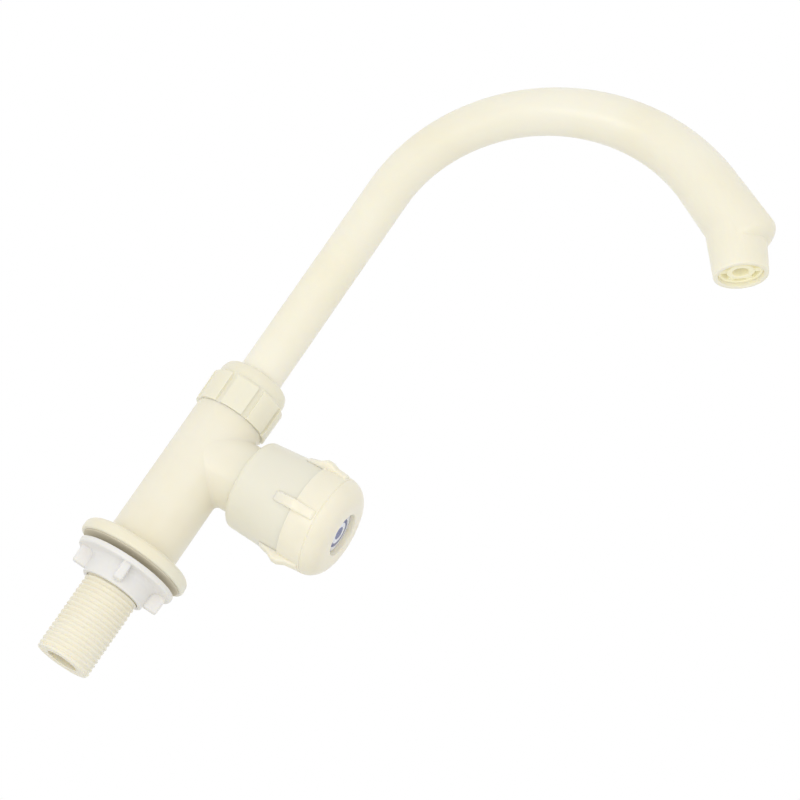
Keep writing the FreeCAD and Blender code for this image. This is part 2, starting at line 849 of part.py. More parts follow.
def make_moving_disc():
    body = make_disc("moving_disc", "moving_disc_start", "moving_disc_thickness", "quarter_turn")
    slot = new_sketch(body, "dog_slot_outline", "YZ_Plane",
                      ("0", "branch_height", "driver_start - dog_depth - seat_gap"))
    for side in ("", "-"):
        draw_outline(slot, [
            (f"{side}(dog_inner - seat_gap)", "-dog_width / 2 - seat_gap"),
            (f"{side}(disc_radius + cut_past)", "-dog_width / 2 - seat_gap"),
            (f"{side}(disc_radius + cut_past)", "dog_width / 2 + seat_gap"),
            (f"{side}(dog_inner - seat_gap)", "dog_width / 2 + seat_gap"),
        ])
    pocket(body, "dog_slots", slot, "dog_depth + seat_gap", forward=True)
    return body


# Half the number of straight edges that draw the sector for the spindle's stop tab
STOP_STEPS = 4


def make_cartridge_body():
    """Barrel with two windows, a plug that closes the chamber, a hexagon and the spindle's gland."""
    body = new_body("cartridge_body")
    outline = axis_sketch(body, "cartridge_outline")
    draw_outline(outline, [
        ("barrel_start", "disc_bore"),
        ("barrel_start", "barrel_radius"),
        ("plug_start", "barrel_radius"),
        ("plug_start", "plug_radius"),
        ("bell_mouth", "plug_radius"),
        ("bell_mouth", "gland_radius"),
        ("gland_end", "gland_radius"),
        ("gland_end", "spindle_radius + running_gap"),
        ("thrust_face", "spindle_radius + running_gap"),
        ("thrust_face", "driver_bore"),
        ("driver_start", "driver_bore"),
        ("driver_start", "disc_bore"),
    ])
    revolve(body, "cartridge", outline, "H_Axis")

    hexagon = new_sketch(body, "hexagon_outline", "YZ_Plane", ("0", "branch_height", "bell_mouth"))
    corner = "hex_across_flats / 2 / cos(30)"
    draw_outline(hexagon, [
        (f"{corner} * cos({60 * side})" if side % 3 else f"{corner} * {1 if side == 0 else -1}",
         f"{corner} * sin({60 * side})" if side % 3 else "0")
        for side in range(6)
    ])
    draw_circle(hexagon, "gland_radius - overlap")
    pad(body, "hexagon", hexagon, "hex_thickness")

    groove_sketch = axis_sketch(body, "body_ring_outline")
    draw_outline(groove_sketch, [
        ("plug_start + (plug_length - ring_room) / 2", "chamber_radius - ring_room"),
        ("plug_start + (plug_length + ring_room) / 2", "chamber_radius - ring_room"),
        ("plug_start + (plug_length + ring_room) / 2", "chamber_radius + cut_past"),
        ("plug_start + (plug_length - ring_room) / 2", "chamber_radius + cut_past"),
    ])
    groove(body, "body_ring_groove", groove_sketch, "H_Axis")

    stop = new_sketch(body, "stop_outline", "YZ_Plane", ("0", "branch_height", "driver_start"))
    reach = "disc_bore"
    sweep = "(quarter_turn / 2 + stop_tab_angle / 2 + stop_slack)"
    corners = [("0", "0")]
    for step in range(-STOP_STEPS, STOP_STEPS + 1):
        angle = f"(90 + {sweep} * {step / STOP_STEPS})"
        if step == 0:
            corners.append(("0", f"{reach}"))
        else:
            corners.append((f"{reach} * cos({angle})", f"{reach} * sin({angle})"))
    draw_outline(stop, corners)
    pocket(body, "stop_sector", stop, "thrust_face - driver_start", forward=True)

    window = new_sketch(body, "window_outline")
    draw_outline(window, [
        ("driver_start", "branch_height - window_width / 2"),
        ("plug_start - seat_gap", "branch_height - window_width / 2"),
        ("plug_start - seat_gap", "branch_height + window_width / 2"),
        ("driver_start", "branch_height + window_width / 2"),
    ])
    pocket(body, "windows", window, "2 * (barrel_radius + cut_past)", midplane=True)
    return body


def make_cartridge_o_ring():
    label = "cartridge_o_ring"
    ring = doc.addObject("Part::Torus", label)
    ring.Label = label
    tie(ring, "Radius1", "chamber_radius - ring_room / 2")
    tie(ring, "Radius2", "ring_section")
    ring.Placement.Rotation = FreeCAD.Rotation(Z_AXIS, X_AXIS)
    tie(ring, "Placement.Base.x", "plug_start + plug_length / 2")
    tie(ring, "Placement.Base.z", "branch_height")
    doc.recompute()
    return ring


def make_spindle():
    """Driver plate with two dogs and a stop tab, and a grooved shaft with a flatted end."""
    body = new_body("spindle")
    outline = axis_sketch(body, "spindle_outline")
    draw_outline(outline, [
        ("driver_start", "0"),
        ("driver_start", "driver_radius"),
        ("driver_end", "driver_radius"),
        ("driver_end", "spindle_radius"),
        ("clip_start", "spindle_radius"),
        ("clip_start", "spindle_radius - clip_depth"),
        ("clip_end", "spindle_radius - clip_depth"),
        ("clip_end", "spindle_radius"),
        ("spindle_end", "spindle_radius"),
        ("spindle_end", "0"),
    ])
    revolve(body, "shaft", outline, "H_Axis")

    tab = new_sketch(body, "stop_tab_outline", "YZ_Plane", ("0", "branch_height", "driver_start"),
                     "-quarter_turn / 2")
    draw_outline(tab, [
        ("-driver_radius * sin(stop_tab_angle / 2)", "driver_radius - overlap"),
        ("driver_radius * sin(stop_tab_angle / 2)", "driver_radius - overlap"),
        ("tab_reach * sin(stop_tab_angle / 2)", "tab_reach * cos(stop_tab_angle / 2)"),
        ("-tab_reach * sin(stop_tab_angle / 2)", "tab_reach * cos(stop_tab_angle / 2)"),
    ])
    pad(body, "stop_tab", tab, "driver_thickness")

    dog = new_sketch(body, "dog_outline", "YZ_Plane", ("0", "branch_height", "driver_start - dog_depth"))
    for side in ("", "-"):
        draw_outline(dog, [
            (f"{side}dog_inner", "-dog_width / 2"),
            (f"{side}driver_radius * cos(asin(dog_width / 2 / driver_radius))", "-dog_width / 2"),
            (f"{side}driver_radius * cos(asin(dog_width / 2 / driver_radius))", "dog_width / 2"),
            (f"{side}dog_inner", "dog_width / 2"),
        ])
    pad(body, "dogs", dog, "dog_depth + driver_thickness / 2")

    port = new_sketch(body, "driver_port_outline", "YZ_Plane", ("0", "branch_height", "driver_start"))
    for side in ("", "-"):
        draw_outline(port, [
            ("-dog_width / 2", f"{side}(driver_radius - overlap)"),
            ("dog_width / 2", f"{side}(driver_radius - overlap)"),
            ("dog_width / 2", f"{side}port_inner"),
            ("-dog_width / 2", f"{side}port_inner"),
        ])
    pocket(body, "driver_ports", port, "driver_thickness - driver_floor", forward=True)

    for index, level in enumerate(("0", "spindle_ring_spacing")):
        slot = axis_sketch(body, f"spindle_ring_outline_{index}")
        middle = f"bell_mouth - spindle_ring_back + {level}"
        draw_outline(slot, [
            (f"{middle} - ring_room / 2", "ring_inner"),
            (f"{middle} + ring_room / 2", "ring_inner"),
            (f"{middle} + ring_room / 2", "spindle_radius + cut_past"),
            (f"{middle} - ring_room / 2", "spindle_radius + cut_past"),
        ])
        groove(body, f"spindle_ring_groove_{index}", slot, "H_Axis")

    flats = new_sketch(body, "flats_outline", "YZ_Plane", ("0", "branch_height", "hub_rear"))
    for side in ("", "-"):
        draw_outline(flats, [
            ("-spindle_radius - cut_past", f"{side}spindle_flat"),
            ("spindle_radius + cut_past", f"{side}spindle_flat"),
            ("spindle_radius + cut_past", f"{side}(spindle_radius + cut_past)"),
            ("-spindle_radius - cut_past", f"{side}(spindle_radius + cut_past)"),
        ])
    pocket(body, "flats", flats, "spindle_key_length", forward=True)

    tapped = new_sketch(body, "screw_hole_outline", "YZ_Plane",
                        ("0", "branch_height", "screw_seat - screw_length - cut_past"))
    draw_circle(tapped, "screw_radius + running_gap")
    depth = "spindle_end - screw_seat + screw_length + 2 * cut_past"
    pocket(body, "screw_hole", tapped, depth, forward=True)
    return body


def make_spindle_o_rings():
    middle = "bell_mouth - spindle_ring_back"
    places = [
        ((middle, "0", "branch_height"), X_AXIS),
        ((f"{middle} + spindle_ring_spacing", "0", "branch_height"), X_AXIS),
    ]
    return ring_pair("spindle_o_rings", "ring_inner + ring_room / 2", places)


def make_thrust_washer():
    return ring_node("thrust_washer", "spindle_radius + seat_gap", "driver_radius - seat_gap", "driver_end",
                     "thrust_washer_thickness", along_branch=True)


def make_retaining_clip():
    """An open spring clip in the spindle's groove, behind the gland."""
    bore = "spindle_radius - clip_depth + running_gap"
    body = ring_node("retaining_clip", bore, "clip_radius", "clip_start", "clip_thickness", along_branch=True)
    mouth = new_sketch(body, "clip_mouth_outline", "YZ_Plane", ("0", "branch_height", "clip_start"))
    draw_outline(mouth, [
        ("-clip_mouth_half", "0"),
        ("-clip_mouth_half", "-clip_radius - cut_past"),
        ("clip_mouth_half", "-clip_radius - cut_past"),
        ("clip_mouth_half", "0"),
    ])
    pocket(body, "clip_mouth", mouth, "clip_thickness", forward=True)
    return body


# Knob

# Half the number of straight edges that draw each round side of the knob's socket
SOCKET_STEPS = 3


def make_knob():
    """Hollow knob: grip lugs that reach back over the bell, rounded front, keyed hub inside."""
    body = new_body("knob")
    outline = axis_sketch(body, "knob_outline")
    draw_outline(outline, [
        ("knob_rear", "0"),
        ("knob_rear", "knob_radius"),
        ("knob_front", "knob_radius"),
        ("knob_front", "0"),
    ])
    revolve(body, "knob_blank", outline, "H_Axis")
    shape = body.Shape
    round_edges(body, "knob_front_edge", ring_edges(shape, X_AXIS, [("knob_front", "knob_radius")]),
                "knob_round")

    lug = new_sketch(body, "lug_outline", base=("0", "branch_height", "0"), turn="lug_turn",
                     turn_axis=(-1, 0, 0))
    draw_outline(lug, [
        ("knob_rear - lug_tail", "-bell_front_radius - lug_gap"),
        ("knob_rear - lug_tail", "-bell_front_radius - lug_gap - lug_tail_height"),
        ("knob_rear - lug_heel", "-lug_heel_reach"),
        ("knob_rear - lug_crest_back", "-lug_reach"),
        ("knob_rear + lug_crest_front", "-lug_reach"),
        ("knob_rear + lug_ridge", "-lug_ridge_reach"),
        ("knob_rear + lug_length", "-lug_front_reach"),
        ("knob_rear + lug_length", "knob_wall / 2 - knob_radius"),
        ("knob_rear", "knob_wall / 2 - knob_radius"),
        ("knob_rear", "-bell_front_radius - lug_gap"),
    ])
    wedge = pad(body, "lug", lug, "lug_width", midplane=True)
    repeat_round(body, "lugs", [wedge], (lug, ["H_Axis"]), "lug_count")

    line = axis_sketch(body, "ring_groove_outline")
    start = "(knob_front - ring_groove_back)"
    draw_outline(line, [
        (f"{start} - ring_groove_width", "knob_radius - ring_groove_depth"),
        (f"{start} - ring_groove_width", "knob_radius + cut_past"),
        (start, "knob_radius + cut_past"),
        (start, "knob_radius - ring_groove_depth"),
    ])
    groove(body, "ring_groove", line, "H_Axis")

    hollow = axis_sketch(body, "hollow_outline")
    draw_outline(hollow, [
        ("knob_rear", "0"),
        ("knob_rear", "knob_radius - knob_wall"),
        ("cavity_floor", "knob_radius - knob_wall"),
        ("cavity_floor", "knob_hub_radius"),
        ("hub_rear", "knob_hub_radius"),
        ("hub_rear", "0"),
    ])
    groove(body, "hollow", hollow, "H_Axis")

    front = axis_sketch(body, "recess_outline")
    draw_outline(front, [
        ("spindle_end + seat_gap", "0"),
        ("spindle_end + seat_gap", "screw_radius + seat_gap"),
        ("screw_seat", "screw_radius + seat_gap"),
        ("screw_seat", "screw_head_radius + seat_gap"),
        ("recess_floor", "screw_head_radius + seat_gap"),
        ("recess_floor", "recess_radius"),
        ("knob_front", "recess_radius"),
        ("knob_front", "0"),
    ])
    groove(body, "recess", front, "H_Axis")

    socket = new_sketch(body, "socket_outline", "YZ_Plane", ("0", "branch_height", "hub_rear"))
    half = "(spindle_flat + running_gap)"
    radius = "(spindle_radius + running_gap)"
    tilt = f"asin({half} / {radius})"
    corners = []
    for side in (1, -1):
        for step in range(-SOCKET_STEPS, SOCKET_STEPS + 1):
            angle = f"({tilt} * {step / SOCKET_STEPS * side})"
            sign = "" if side == 1 else "-"
            up = "0" if step == 0 else f"{radius} * sin({angle})"
            corners.append((f"{sign}{radius} * cos({angle})", up))
    draw_outline(socket, corners)
    pocket(body, "socket", socket, "spindle_key_length + seat_gap", forward=True)
    return body


def make_index_button():
    """The plain round cap over the screw, slightly crowned."""
    body = new_body("index_button")
    outline = axis_sketch(body, "button_outline")
    draw_outline(outline, [
        ("recess_floor", "0"),
        ("recess_floor", "recess_radius - seat_gap"),
        ("recess_floor + button_thickness - button_crown", "recess_radius - seat_gap"),
        ("recess_floor + button_thickness - button_crown + button_slope", "button_slope_radius"),
        ("recess_floor + button_thickness", "button_flat_radius"),
        ("recess_floor + button_thickness", "0"),
    ])
    revolve(body, "button", outline, "H_Axis")
    return body


def make_knob_screw():
    body = new_body("knob_screw")
    outline = axis_sketch(body, "screw_outline")
    draw_outline(outline, [
        ("screw_seat - screw_length", "0"),
        ("screw_seat - screw_length", "screw_radius"),
        ("screw_seat", "screw_radius"),
        ("screw_seat", "screw_head_radius"),
        ("screw_seat + screw_head_height", "screw_head_radius"),
        ("screw_seat + screw_head_height", "0"),
    ])
    revolve(body, "screw", outline, "H_Axis")
    for index, (across, up) in enumerate((("screw_slot_width", "screw_slot_reach"),
                                          ("screw_slot_reach", "screw_slot_width"))):
        slot = new_sketch(body, f"slot_outline_{index}", "YZ_Plane",
                          ("0", "branch_height", "screw_seat + screw_head_height"))
        draw_outline(slot, [
            (f"-({across}) / 2", f"-({up}) / 2"),
            (f"({across}) / 2", f"-({up}) / 2"),
            (f"({across}) / 2", f"({up}) / 2"),
            (f"-({across}) / 2", f"({up}) / 2"),
        ])
        pocket(body, f"slot_{index}", slot, "screw_slot_depth")
    return body


MAKERS = [
    make_valve_body,
    make_deck_gasket,
    make_lock_nut,
    make_spout_nut,
    make_spout_washer,
    make_spout_split_ring,
    make_spout,
    make_spout_o_rings,
    make_flow_straightener,
    make_seat_ring,
    make_fixed_disc,
    make_moving_disc,
    make_cartridge_body,
    make_cartridge_o_ring,
    make_spindle,
    make_spindle_o_rings,
    make_thrust_washer,
    make_retaining_clip,
    make_knob,
    make_index_button,
    make_knob_screw,
]

nodes = [maker() for maker in MAKERS]
doc.recompute()

for item in doc.Objects:
    if "Invalid" in item.State or "Error" in item.State:
        raise RuntimeError(f"{item.Label} failed: {item.State}")
for node in nodes:
    if node.Shape.isNull() or not node.Shape.isValid():
        raise RuntimeError(f"{node.Label} has no sound shape")

os.makedirs("parts", exist_ok=True)
for node in nodes:
    node.Shape.exportStep(f"parts/{node.Label}.step")
    box = node.Shape.BoundBox
    print(f"{node.Label}: {len(node.Shape.Solids)} solid, {node.Shape.Volume:.1f} mm3, "
          f"x {box.XMin:.2f}..{box.XMax:.2f} z {box.ZMin:.2f}..{box.ZMax:.2f}")
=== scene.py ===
"""Dressed scene of a plastic deck tap.

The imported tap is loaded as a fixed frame. Its outer mouldings are modelled over it, its inner
pieces get their finishes, and a plain white studio is set round it for a portrait from low at
its side.
"""
import logging
import math
from contextlib import contextmanager
from dataclasses import dataclass
from enum import Enum
from functools import cached_property
from itertools import pairwise
from typing import Callable, Iterator, Sequence, Union

import bpy
from mathutils import Matrix, Vector


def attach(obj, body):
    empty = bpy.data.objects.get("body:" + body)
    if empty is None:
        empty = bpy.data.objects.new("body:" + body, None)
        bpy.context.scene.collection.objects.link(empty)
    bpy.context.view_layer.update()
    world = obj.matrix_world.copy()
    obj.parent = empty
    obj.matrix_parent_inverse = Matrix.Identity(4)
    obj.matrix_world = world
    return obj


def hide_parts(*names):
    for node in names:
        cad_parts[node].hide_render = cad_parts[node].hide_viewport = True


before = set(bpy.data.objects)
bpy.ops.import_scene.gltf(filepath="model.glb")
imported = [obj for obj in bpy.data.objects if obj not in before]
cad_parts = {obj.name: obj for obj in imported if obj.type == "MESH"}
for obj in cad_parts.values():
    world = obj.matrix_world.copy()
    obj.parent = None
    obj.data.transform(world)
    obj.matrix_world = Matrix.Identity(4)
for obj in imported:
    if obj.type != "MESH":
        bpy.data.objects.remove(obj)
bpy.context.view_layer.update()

LOG = logging.getLogger("tap")

MM = 0.001
# In metres: vertices nearer than MERGE become one, and edges shorter than SLIVER are dropped.
MERGE = 1e-7
SLIVER = 1e-8
# In mm: how far a cutting form stands out past what it cuts, and the round on a plain edge.
SPARE = 1.0
EDGE = 0.2

# The lines that the round pieces are turned about. The branch's runs towards the knob.
BRANCH_HEIGHT = 46.7
COLUMN = Matrix.Identity(4)
BRANCH = Matrix.Translation((0.0, 0.0, BRANCH_HEIGHT * MM)) @ Matrix.Rotation(math.pi / 2, 4, "Y")

Solid = bpy.types.Object
Link = bpy.types.NodeSocket
Outline = list[tuple[float, float]]
Triple = tuple[float, float, float]


class Cut(Enum):
    """How one solid is worked with another."""

    JOIN = "UNION"
    REMOVE = "DIFFERENCE"
    TRIM = "INTERSECT"


class Body(Enum):
    """The bodies that the tap's pieces ride on."""

    TAP = "tap_body"
    NUT = "lock_nut"
    SPOUT = "spout"
    CONTROL = "valve_control"


# Outlines

@dataclass(frozen=True)
class Corner:
    """A corner of a turned outline.

    Attributes:
        radius: Distance from the axis in mm.
        along: Place along the axis in mm.
        soft: Radius that the corner is rounded to, in mm.
    """

    radius: float
    along: float
    soft: float = 0.0


def softened(corners: Sequence[Corner], chords: int = 5) -> Outline:
    """Round the corners of an outline.

    Args:
        corners: The corners in order, the last of them before the first.
        chords: Number of chords in each rounded corner.

    Returns:
        The outline's points as pairs of radius and place along the axis, in mm.
    """
    points: Outline = []
    for index, corner in enumerate(corners):
        here = Vector((corner.radius, corner.along))
        if corner.soft <= 0.0:
            points.append((here.x, here.y))
            continue
        before, after = corners[index - 1], corners[(index + 1) % len(corners)]
        back = (Vector((before.radius, before.along)) - here).normalized()
        ahead = (Vector((after.radius, after.along)) - here).normalized()
        half = back.angle(ahead) / 2
        middle = here + (back + ahead).normalized() * corner.soft / math.sin(half)
        start = here + back * corner.soft / math.tan(half) - middle
        sweep = start.angle_signed(here + ahead * corner.soft / math.tan(half) - middle)
        for chord in range(chords + 1):
            turn = -sweep * chord / chords
            spoke = Vector((start.x * math.cos(turn) - start.y * math.sin(turn),
                            start.x * math.sin(turn) + start.y * math.cos(turn)))
            points.append((middle.x + spoke.x, middle.y + spoke.y))
    return points


# Modelling, each step with Blender's own operators

def pick(*pieces: Solid) -> None:
    """Select these pieces and nothing else.

    Args:
        *pieces: The pieces, the first of which becomes the active one.
    """
    bpy.ops.object.select_all(action="DESELECT")
    for piece in pieces:
        piece.select_set(True)
    bpy.context.view_layer.objects.active = pieces[0]


@contextmanager
def editing(piece: Solid, mode: str = "VERT", whole: bool = True) -> Iterator[None]:
    """Hold a piece in edit mode.

    Args:
        piece: The piece to work on.
        mode: What is selected there: VERT, EDGE or FACE.
        whole: Whether everything is selected at the start.

    Yields:
        Nothing; the piece leaves edit mode afterwards.
    """
    pick(piece)
    bpy.ops.object.mode_set(mode="EDIT")
    bpy.ops.mesh.select_mode(type=mode)
    if whole:
        bpy.ops.mesh.select_all(action="SELECT")
    yield
    bpy.ops.object.mode_set(mode="OBJECT")


def face_outwards() -> None:
    """Turn every face of the mesh in edit mode outwards."""
    bpy.ops.mesh.select_all(action="SELECT")
    bpy.ops.mesh.normals_make_consistent(inside=False)


def named(name: str) -> Solid:
    """Name the primitive just added.

    Args:
        name: Its name.

    Returns:
        The primitive.
    """
    piece = bpy.context.active_object
    piece.name = name
    piece.data.name = name
    return piece


def settle(piece: Solid, place: Matrix) -> None:
    """Lay a piece in its place and put that place into its mesh.

    Args:
        piece: The piece.
        place: The matrix that takes it there.
    """
    piece.matrix_world = place @ piece.matrix_world
    pick(piece)
    bpy.ops.object.transform_apply(location=True, rotation=True, scale=True)


def wire_of(name: str, outline: Outline, closed: bool) -> Solid:
    """Lay a circle's vertices on an outline in the XZ plane.

    Args:
        name: Name of the new piece.
        outline: Pairs of radius and place along Z, in mm.
        closed: Whether the outline's last point joins its first.

    Returns:
        The wire piece.
    """
    bpy.ops.mesh.primitive_circle_add(vertices=len(outline), radius=MM, fill_type="NOTHING")
    wire = named(name)
    for vertex, (radius, along) in zip(wire.data.vertices, outline):
        vertex.co = (radius * MM, 0.0, along * MM)
    if not closed:
        ends = {0, len(outline) - 1}
        for item in (*wire.data.vertices, *wire.data.edges):
            item.select = False
        for edge in wire.data.edges:
            edge.select = set(edge.vertices) == ends
        with editing(wire, "EDGE", whole=False):
            bpy.ops.mesh.delete(type="EDGE")
    return wire


def turned(name: str, outline: Outline, line: Matrix, facets: int = 96) -> Solid:
    """Spin an outline about its axis.

    Args:
        name: Name of the new piece.
        outline: Pairs of radius and place along the axis, in mm. It is a loop, unless it starts
            and ends on the axis.
        line: Where the axis lies.
        facets: Number of facets round the piece.

    Returns:
        The turned solid.
    """
    piece = wire_of(name, outline, closed=outline[0][0] > 0.0)
    with editing(piece):
        bpy.ops.mesh.spin(steps=facets, angle=math.tau, center=(0.0, 0.0, 0.0),
                          axis=(0.0, 0.0, 1.0))
        bpy.ops.mesh.select_all(action="SELECT")
        bpy.ops.mesh.remove_doubles(threshold=MERGE)
        bpy.ops.mesh.dissolve_degenerate(threshold=SLIVER)
        face_outwards()
    settle(piece, line)
    return piece


def slab(name: str, outline: Outline, width: float) -> Solid:
    """Extrude a closed outline in the XZ plane.

    Args:
        name: Name of the new piece.
        outline: Pairs of places along X and Z, in mm.
        width: Width in mm, half on each side of the plane.

    Returns:
        The slab.
    """
    piece = wire_of(name, outline, closed=True)
    with editing(piece):
        bpy.ops.mesh.edge_face_add()
        bpy.ops.transform.translate(value=(0.0, -width * MM / 2, 0.0))
        bpy.ops.mesh.extrude_region_move(
            TRANSFORM_OT_translate={"value": (0.0, width * MM, 0.0)})
        face_outwards()
    return piece


def finish_with(piece: Solid, kind: str, **settings: object) -> None:
    """Add a modifier to a piece and apply it.

    Args:
        piece: The piece.
        kind: The modifier's type.
        **settings: The modifier's settings.
    """
    pick(piece)
    bpy.ops.object.modifier_add(type=kind)
    modifier = piece.modifiers[-1]
    for name, setting in settings.items():
        setattr(modifier, name, setting)
    bpy.ops.object.modifier_apply(modifier=modifier.name)


def work(piece: Solid, tool: Solid, how: Cut) -> None:
    """Work a piece with a tool solid, which is used up."""
    finish_with(piece, "BOOLEAN", operation=how.value, solver="EXACT", object=tool)
    bpy.data.objects.remove(tool, do_unlink=True)


def work_round(piece: Solid, tool: Solid, how: Cut, line: Matrix, count: int,
               first: float = 0.0) -> None:
    """Work a piece with copies of a tool solid that stand evenly round a line.

    Args:
        piece: The piece.
        tool: The tool solid, which is used up.
        how: What the copies do to the piece.
        line: Place of the line, which is the place's Z axis.
        count: Number of copies.
        first: Angle of the first copy in degrees.
    """
    for index in range(count):
        item = tool.copy()
        item.data = tool.data.copy()
        bpy.context.collection.objects.link(item)
        turn = Matrix.Rotation(math.radians(first) + math.tau * index / count, 4, "Z")
        settle(item, line @ turn @ line.inverted())
        work(piece, item, how)
    bpy.data.objects.remove(tool, do_unlink=True)


def bevel(piece: Solid, width: float, segments: int = 3, angle: float = 40.0) -> None:
    """Round the edges of a piece.

    Args:
        piece: The piece.
        width: Width of the round in mm.
        segments: Number of chords across it.
        angle: Only edges sharper than this, in degrees, are rounded.
    """
    finish_with(piece, "BEVEL", width=width * MM, segments=segments, limit_method="ANGLE",
                angle_limit=math.radians(angle), use_clamp_overlap=True)


def narrowed(piece: Solid, low: float, high: float, share: float) -> None:
    """Narrow a slab between two places along X.

    Args:
        piece: The slab.
        low: The lower place in mm.
        high: The upper place in mm.
        share: What is left of its width there.
    """
    for vertex in piece.data.vertices:
        vertex.select = low * MM < vertex.co.x < high * MM
    with editing(piece, whole=False):
        bpy.ops.transform.resize(value=(1.0, share, 1.0), center_override=(0.0, 0.0, 0.0))


def node_copy(node: str, name: str) -> Solid:
    """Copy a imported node's mesh and merge its loose triangles.

    Args:
        node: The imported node.
        name: Name of the copy.

    Returns:
        The copy.
    """
    piece = bpy.data.objects.new(name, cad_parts[node].data.copy())
    bpy.context.collection.objects.link(piece)
    with editing(piece):
        bpy.ops.mesh.customdata_custom_splitnormals_clear()
        bpy.ops.mesh.select_all(action="SELECT")
        bpy.ops.mesh.remove_doubles(threshold=MERGE)
    return piece


def sliced(piece: Solid, height: float, keep_above: bool) -> None:
    """Cut a piece at a height and close the cut.

    Args:
        piece: The piece.
        height: The height in mm.
        keep_above: Whether the upper side is kept, and not the lower.
    """
    with editing(piece):
        bpy.ops.mesh.bisect(
            plane_co=(0.0, 0.0, height * MM), plane_no=(0.0, 0.0, 1.0), use_fill=True,
            clear_inner=keep_above, clear_outer=not keep_above, threshold=MERGE)


# Shaders

def linear(level: float) -> float:
    """A screen value of 0 to 255 made linear by the sRGB curve."""
    share = level / 255.0
    return share / 12.92 if share <= 0.04045 else ((share + 0.055) / 1.055) ** 2.4


def math_node(operation: str) -> Callable[["Value", "Term"], "Value"]:
    """Make a method that puts a Math node on a value and one more term.

    Args:
        operation: The node's operation.

    Returns:
        The method.
    """
    def method(value: "Value", term: "Term") -> "Value":
        """The node's result."""
        node = value.graph.node("Math", {0: value, 1: term}, operation=operation)
        return Value(value.graph, node.outputs[0])
    return method


class Value:
    """A number on its way along a shader's nodes; Python's arithmetic on it adds Math nodes."""

    def __init__(self, graph: "ShaderGraph", socket: Link) -> None:
        """Wrap an output socket of a graph."""
        self.graph = graph
        self.socket = socket

    __add__ = __radd__ = math_node("ADD")
    __sub__ = math_node("SUBTRACT")
    __mul__ = math_node("MULTIPLY")
    __pow__ = math_node("POWER")
    larger = math_node("MAXIMUM")

    def rise(self, low: float, high: float) -> "Value":
        """Step smoothly from 0 to 1.

        Args:
            low: The level where the step is 0.
            high: The level where it is 1, which may be the smaller of the two.

        Returns:
            The step.
        """
        node = self.graph.node("MapRange", {
            "Value": self, "From Min": low, "From Max": high, "To Min": 0.0, "To Max": 1.0,
        }, interpolation_type="SMOOTHSTEP")
        return Value(self.graph, node.outputs["Result"])


Term = Union[Value, float]
Paint = Union[Triple, Link]


@dataclass(frozen=True)
class Noise:
    """A cloudy pattern in the object's own frame.

    Attributes:
        scale: Features per metre.
        detail: Layers of finer features.
        roughness: Weight of the finer layers.
        span: Levels that are spread smoothly over 0 to 1; without them it stays as it is.
        stretch: What the parts of the point are scaled by first.
    """

    scale: float
    detail: float = 2.0
    roughness: float = 0.5
    span: tuple[float, float] | None = None
    stretch: Triple | None = None


Pattern = tuple[Noise, float]
Patterns = tuple[Pattern, ...]
Extras = tuple[tuple[str, object], ...]
TOOL_RINGS = Noise(120.0, stretch=(60.0, 1.0, 1.0))
DULLING = Noise(220.0, 4.0, 0.6, span=(0.45, 0.8))


class ShaderGraph:
    """The node tree of one material or world."""

    def __init__(self, owner: Union[bpy.types.Material, bpy.types.World]) -> None:
        """Empty the owner's tree.

        Args:
            owner: The material or world.
        """
        owner.use_nodes = True
        self.tree = owner.node_tree
        self.tree.nodes.clear()

    def node(self, kind: str, inputs: dict | None = None, **settings: str) -> bpy.types.Node:
        """Add a node.

        Args:
            kind: The node's type, without the prefix that all of them share.
            inputs: Values or links of its sockets, by name or number.
            **settings: Its settings, set before its sockets.

        Returns:
            The node.
        """
        node = self.tree.nodes.new("ShaderNode" + kind)
        for name, setting in settings.items():
            setattr(node, name, setting)
        for key, entry in (inputs or {}).items():
            socket = entry.socket if isinstance(entry, Value) else entry
            if isinstance(socket, Link):
                self.tree.links.new(socket, node.inputs[key])
            else:
                node.inputs[key].default_value = socket
        return node

    @cached_property
    def place(self) -> Link:
        """The point being shaded, in metres in the object's own frame."""
        return self.node("TexCoord").outputs["Object"]

    def parts(self) -> tuple[Value, Value, Value]:
        """The three parts of the point being shaded."""
        node = self.node("SeparateXYZ", {0: self.place})
        return tuple(Value(self, output) for output in node.outputs)

    def noise(self, kind: Noise) -> Value:
        """Lay a cloudy pattern over the object.

        Args:
            kind: The pattern.

        Returns:
            Its level, from 0 to 1.
        """
        place = self.place
        if kind.stretch:
            place = self.node("Mapping", {
                "Vector": place, "Scale": kind.stretch}).outputs[0]
        node = self.node("TexNoise", {
            "Vector": place, "Scale": kind.scale, "Detail": kind.detail,
            "Roughness": kind.roughness})
        level = Value(self, node.outputs[0])
        return level.rise(*kind.span) if kind.span else level

    def blend(self, share: Term, first: Paint, second: Paint) -> Link:
        """Mix two colours, each given as screen values or as a link.

        Args:
            share: Share of the second colour.
            first: The first colour.
            second: The second colour.

        Returns:
            The mixed colour.
        """
        first, second = (paint if isinstance(paint, Link) else (*map(linear, paint), 1.0)
                         for paint in (first, second))
        node = self.node("Mix", {0: share, 6: first, 7: second}, data_type="RGBA")
        return node.outputs[2]

    def bump(self, height: Value, depth: float, under: Link | None = None) -> Link:
        """Make a relief.

        Args:
            height: Height from 0 to 1.
            depth: What a height of 1 stands for, in mm.
            under: The relief that it lies on.

        Returns:
            The relief's normal.
        """
        inputs = {"Height": height, "Distance": depth * MM, "Strength": 1.0}
        if under is not None:
            inputs["Normal"] = under
        return self.node("Bump", inputs).outputs[0]

    def surface(self, shader: bpy.types.Node, kind: str = "OutputMaterial") -> None:
        """Put a shader on the tree's output."""
        self.node(kind, {"Surface": shader.outputs[0]})


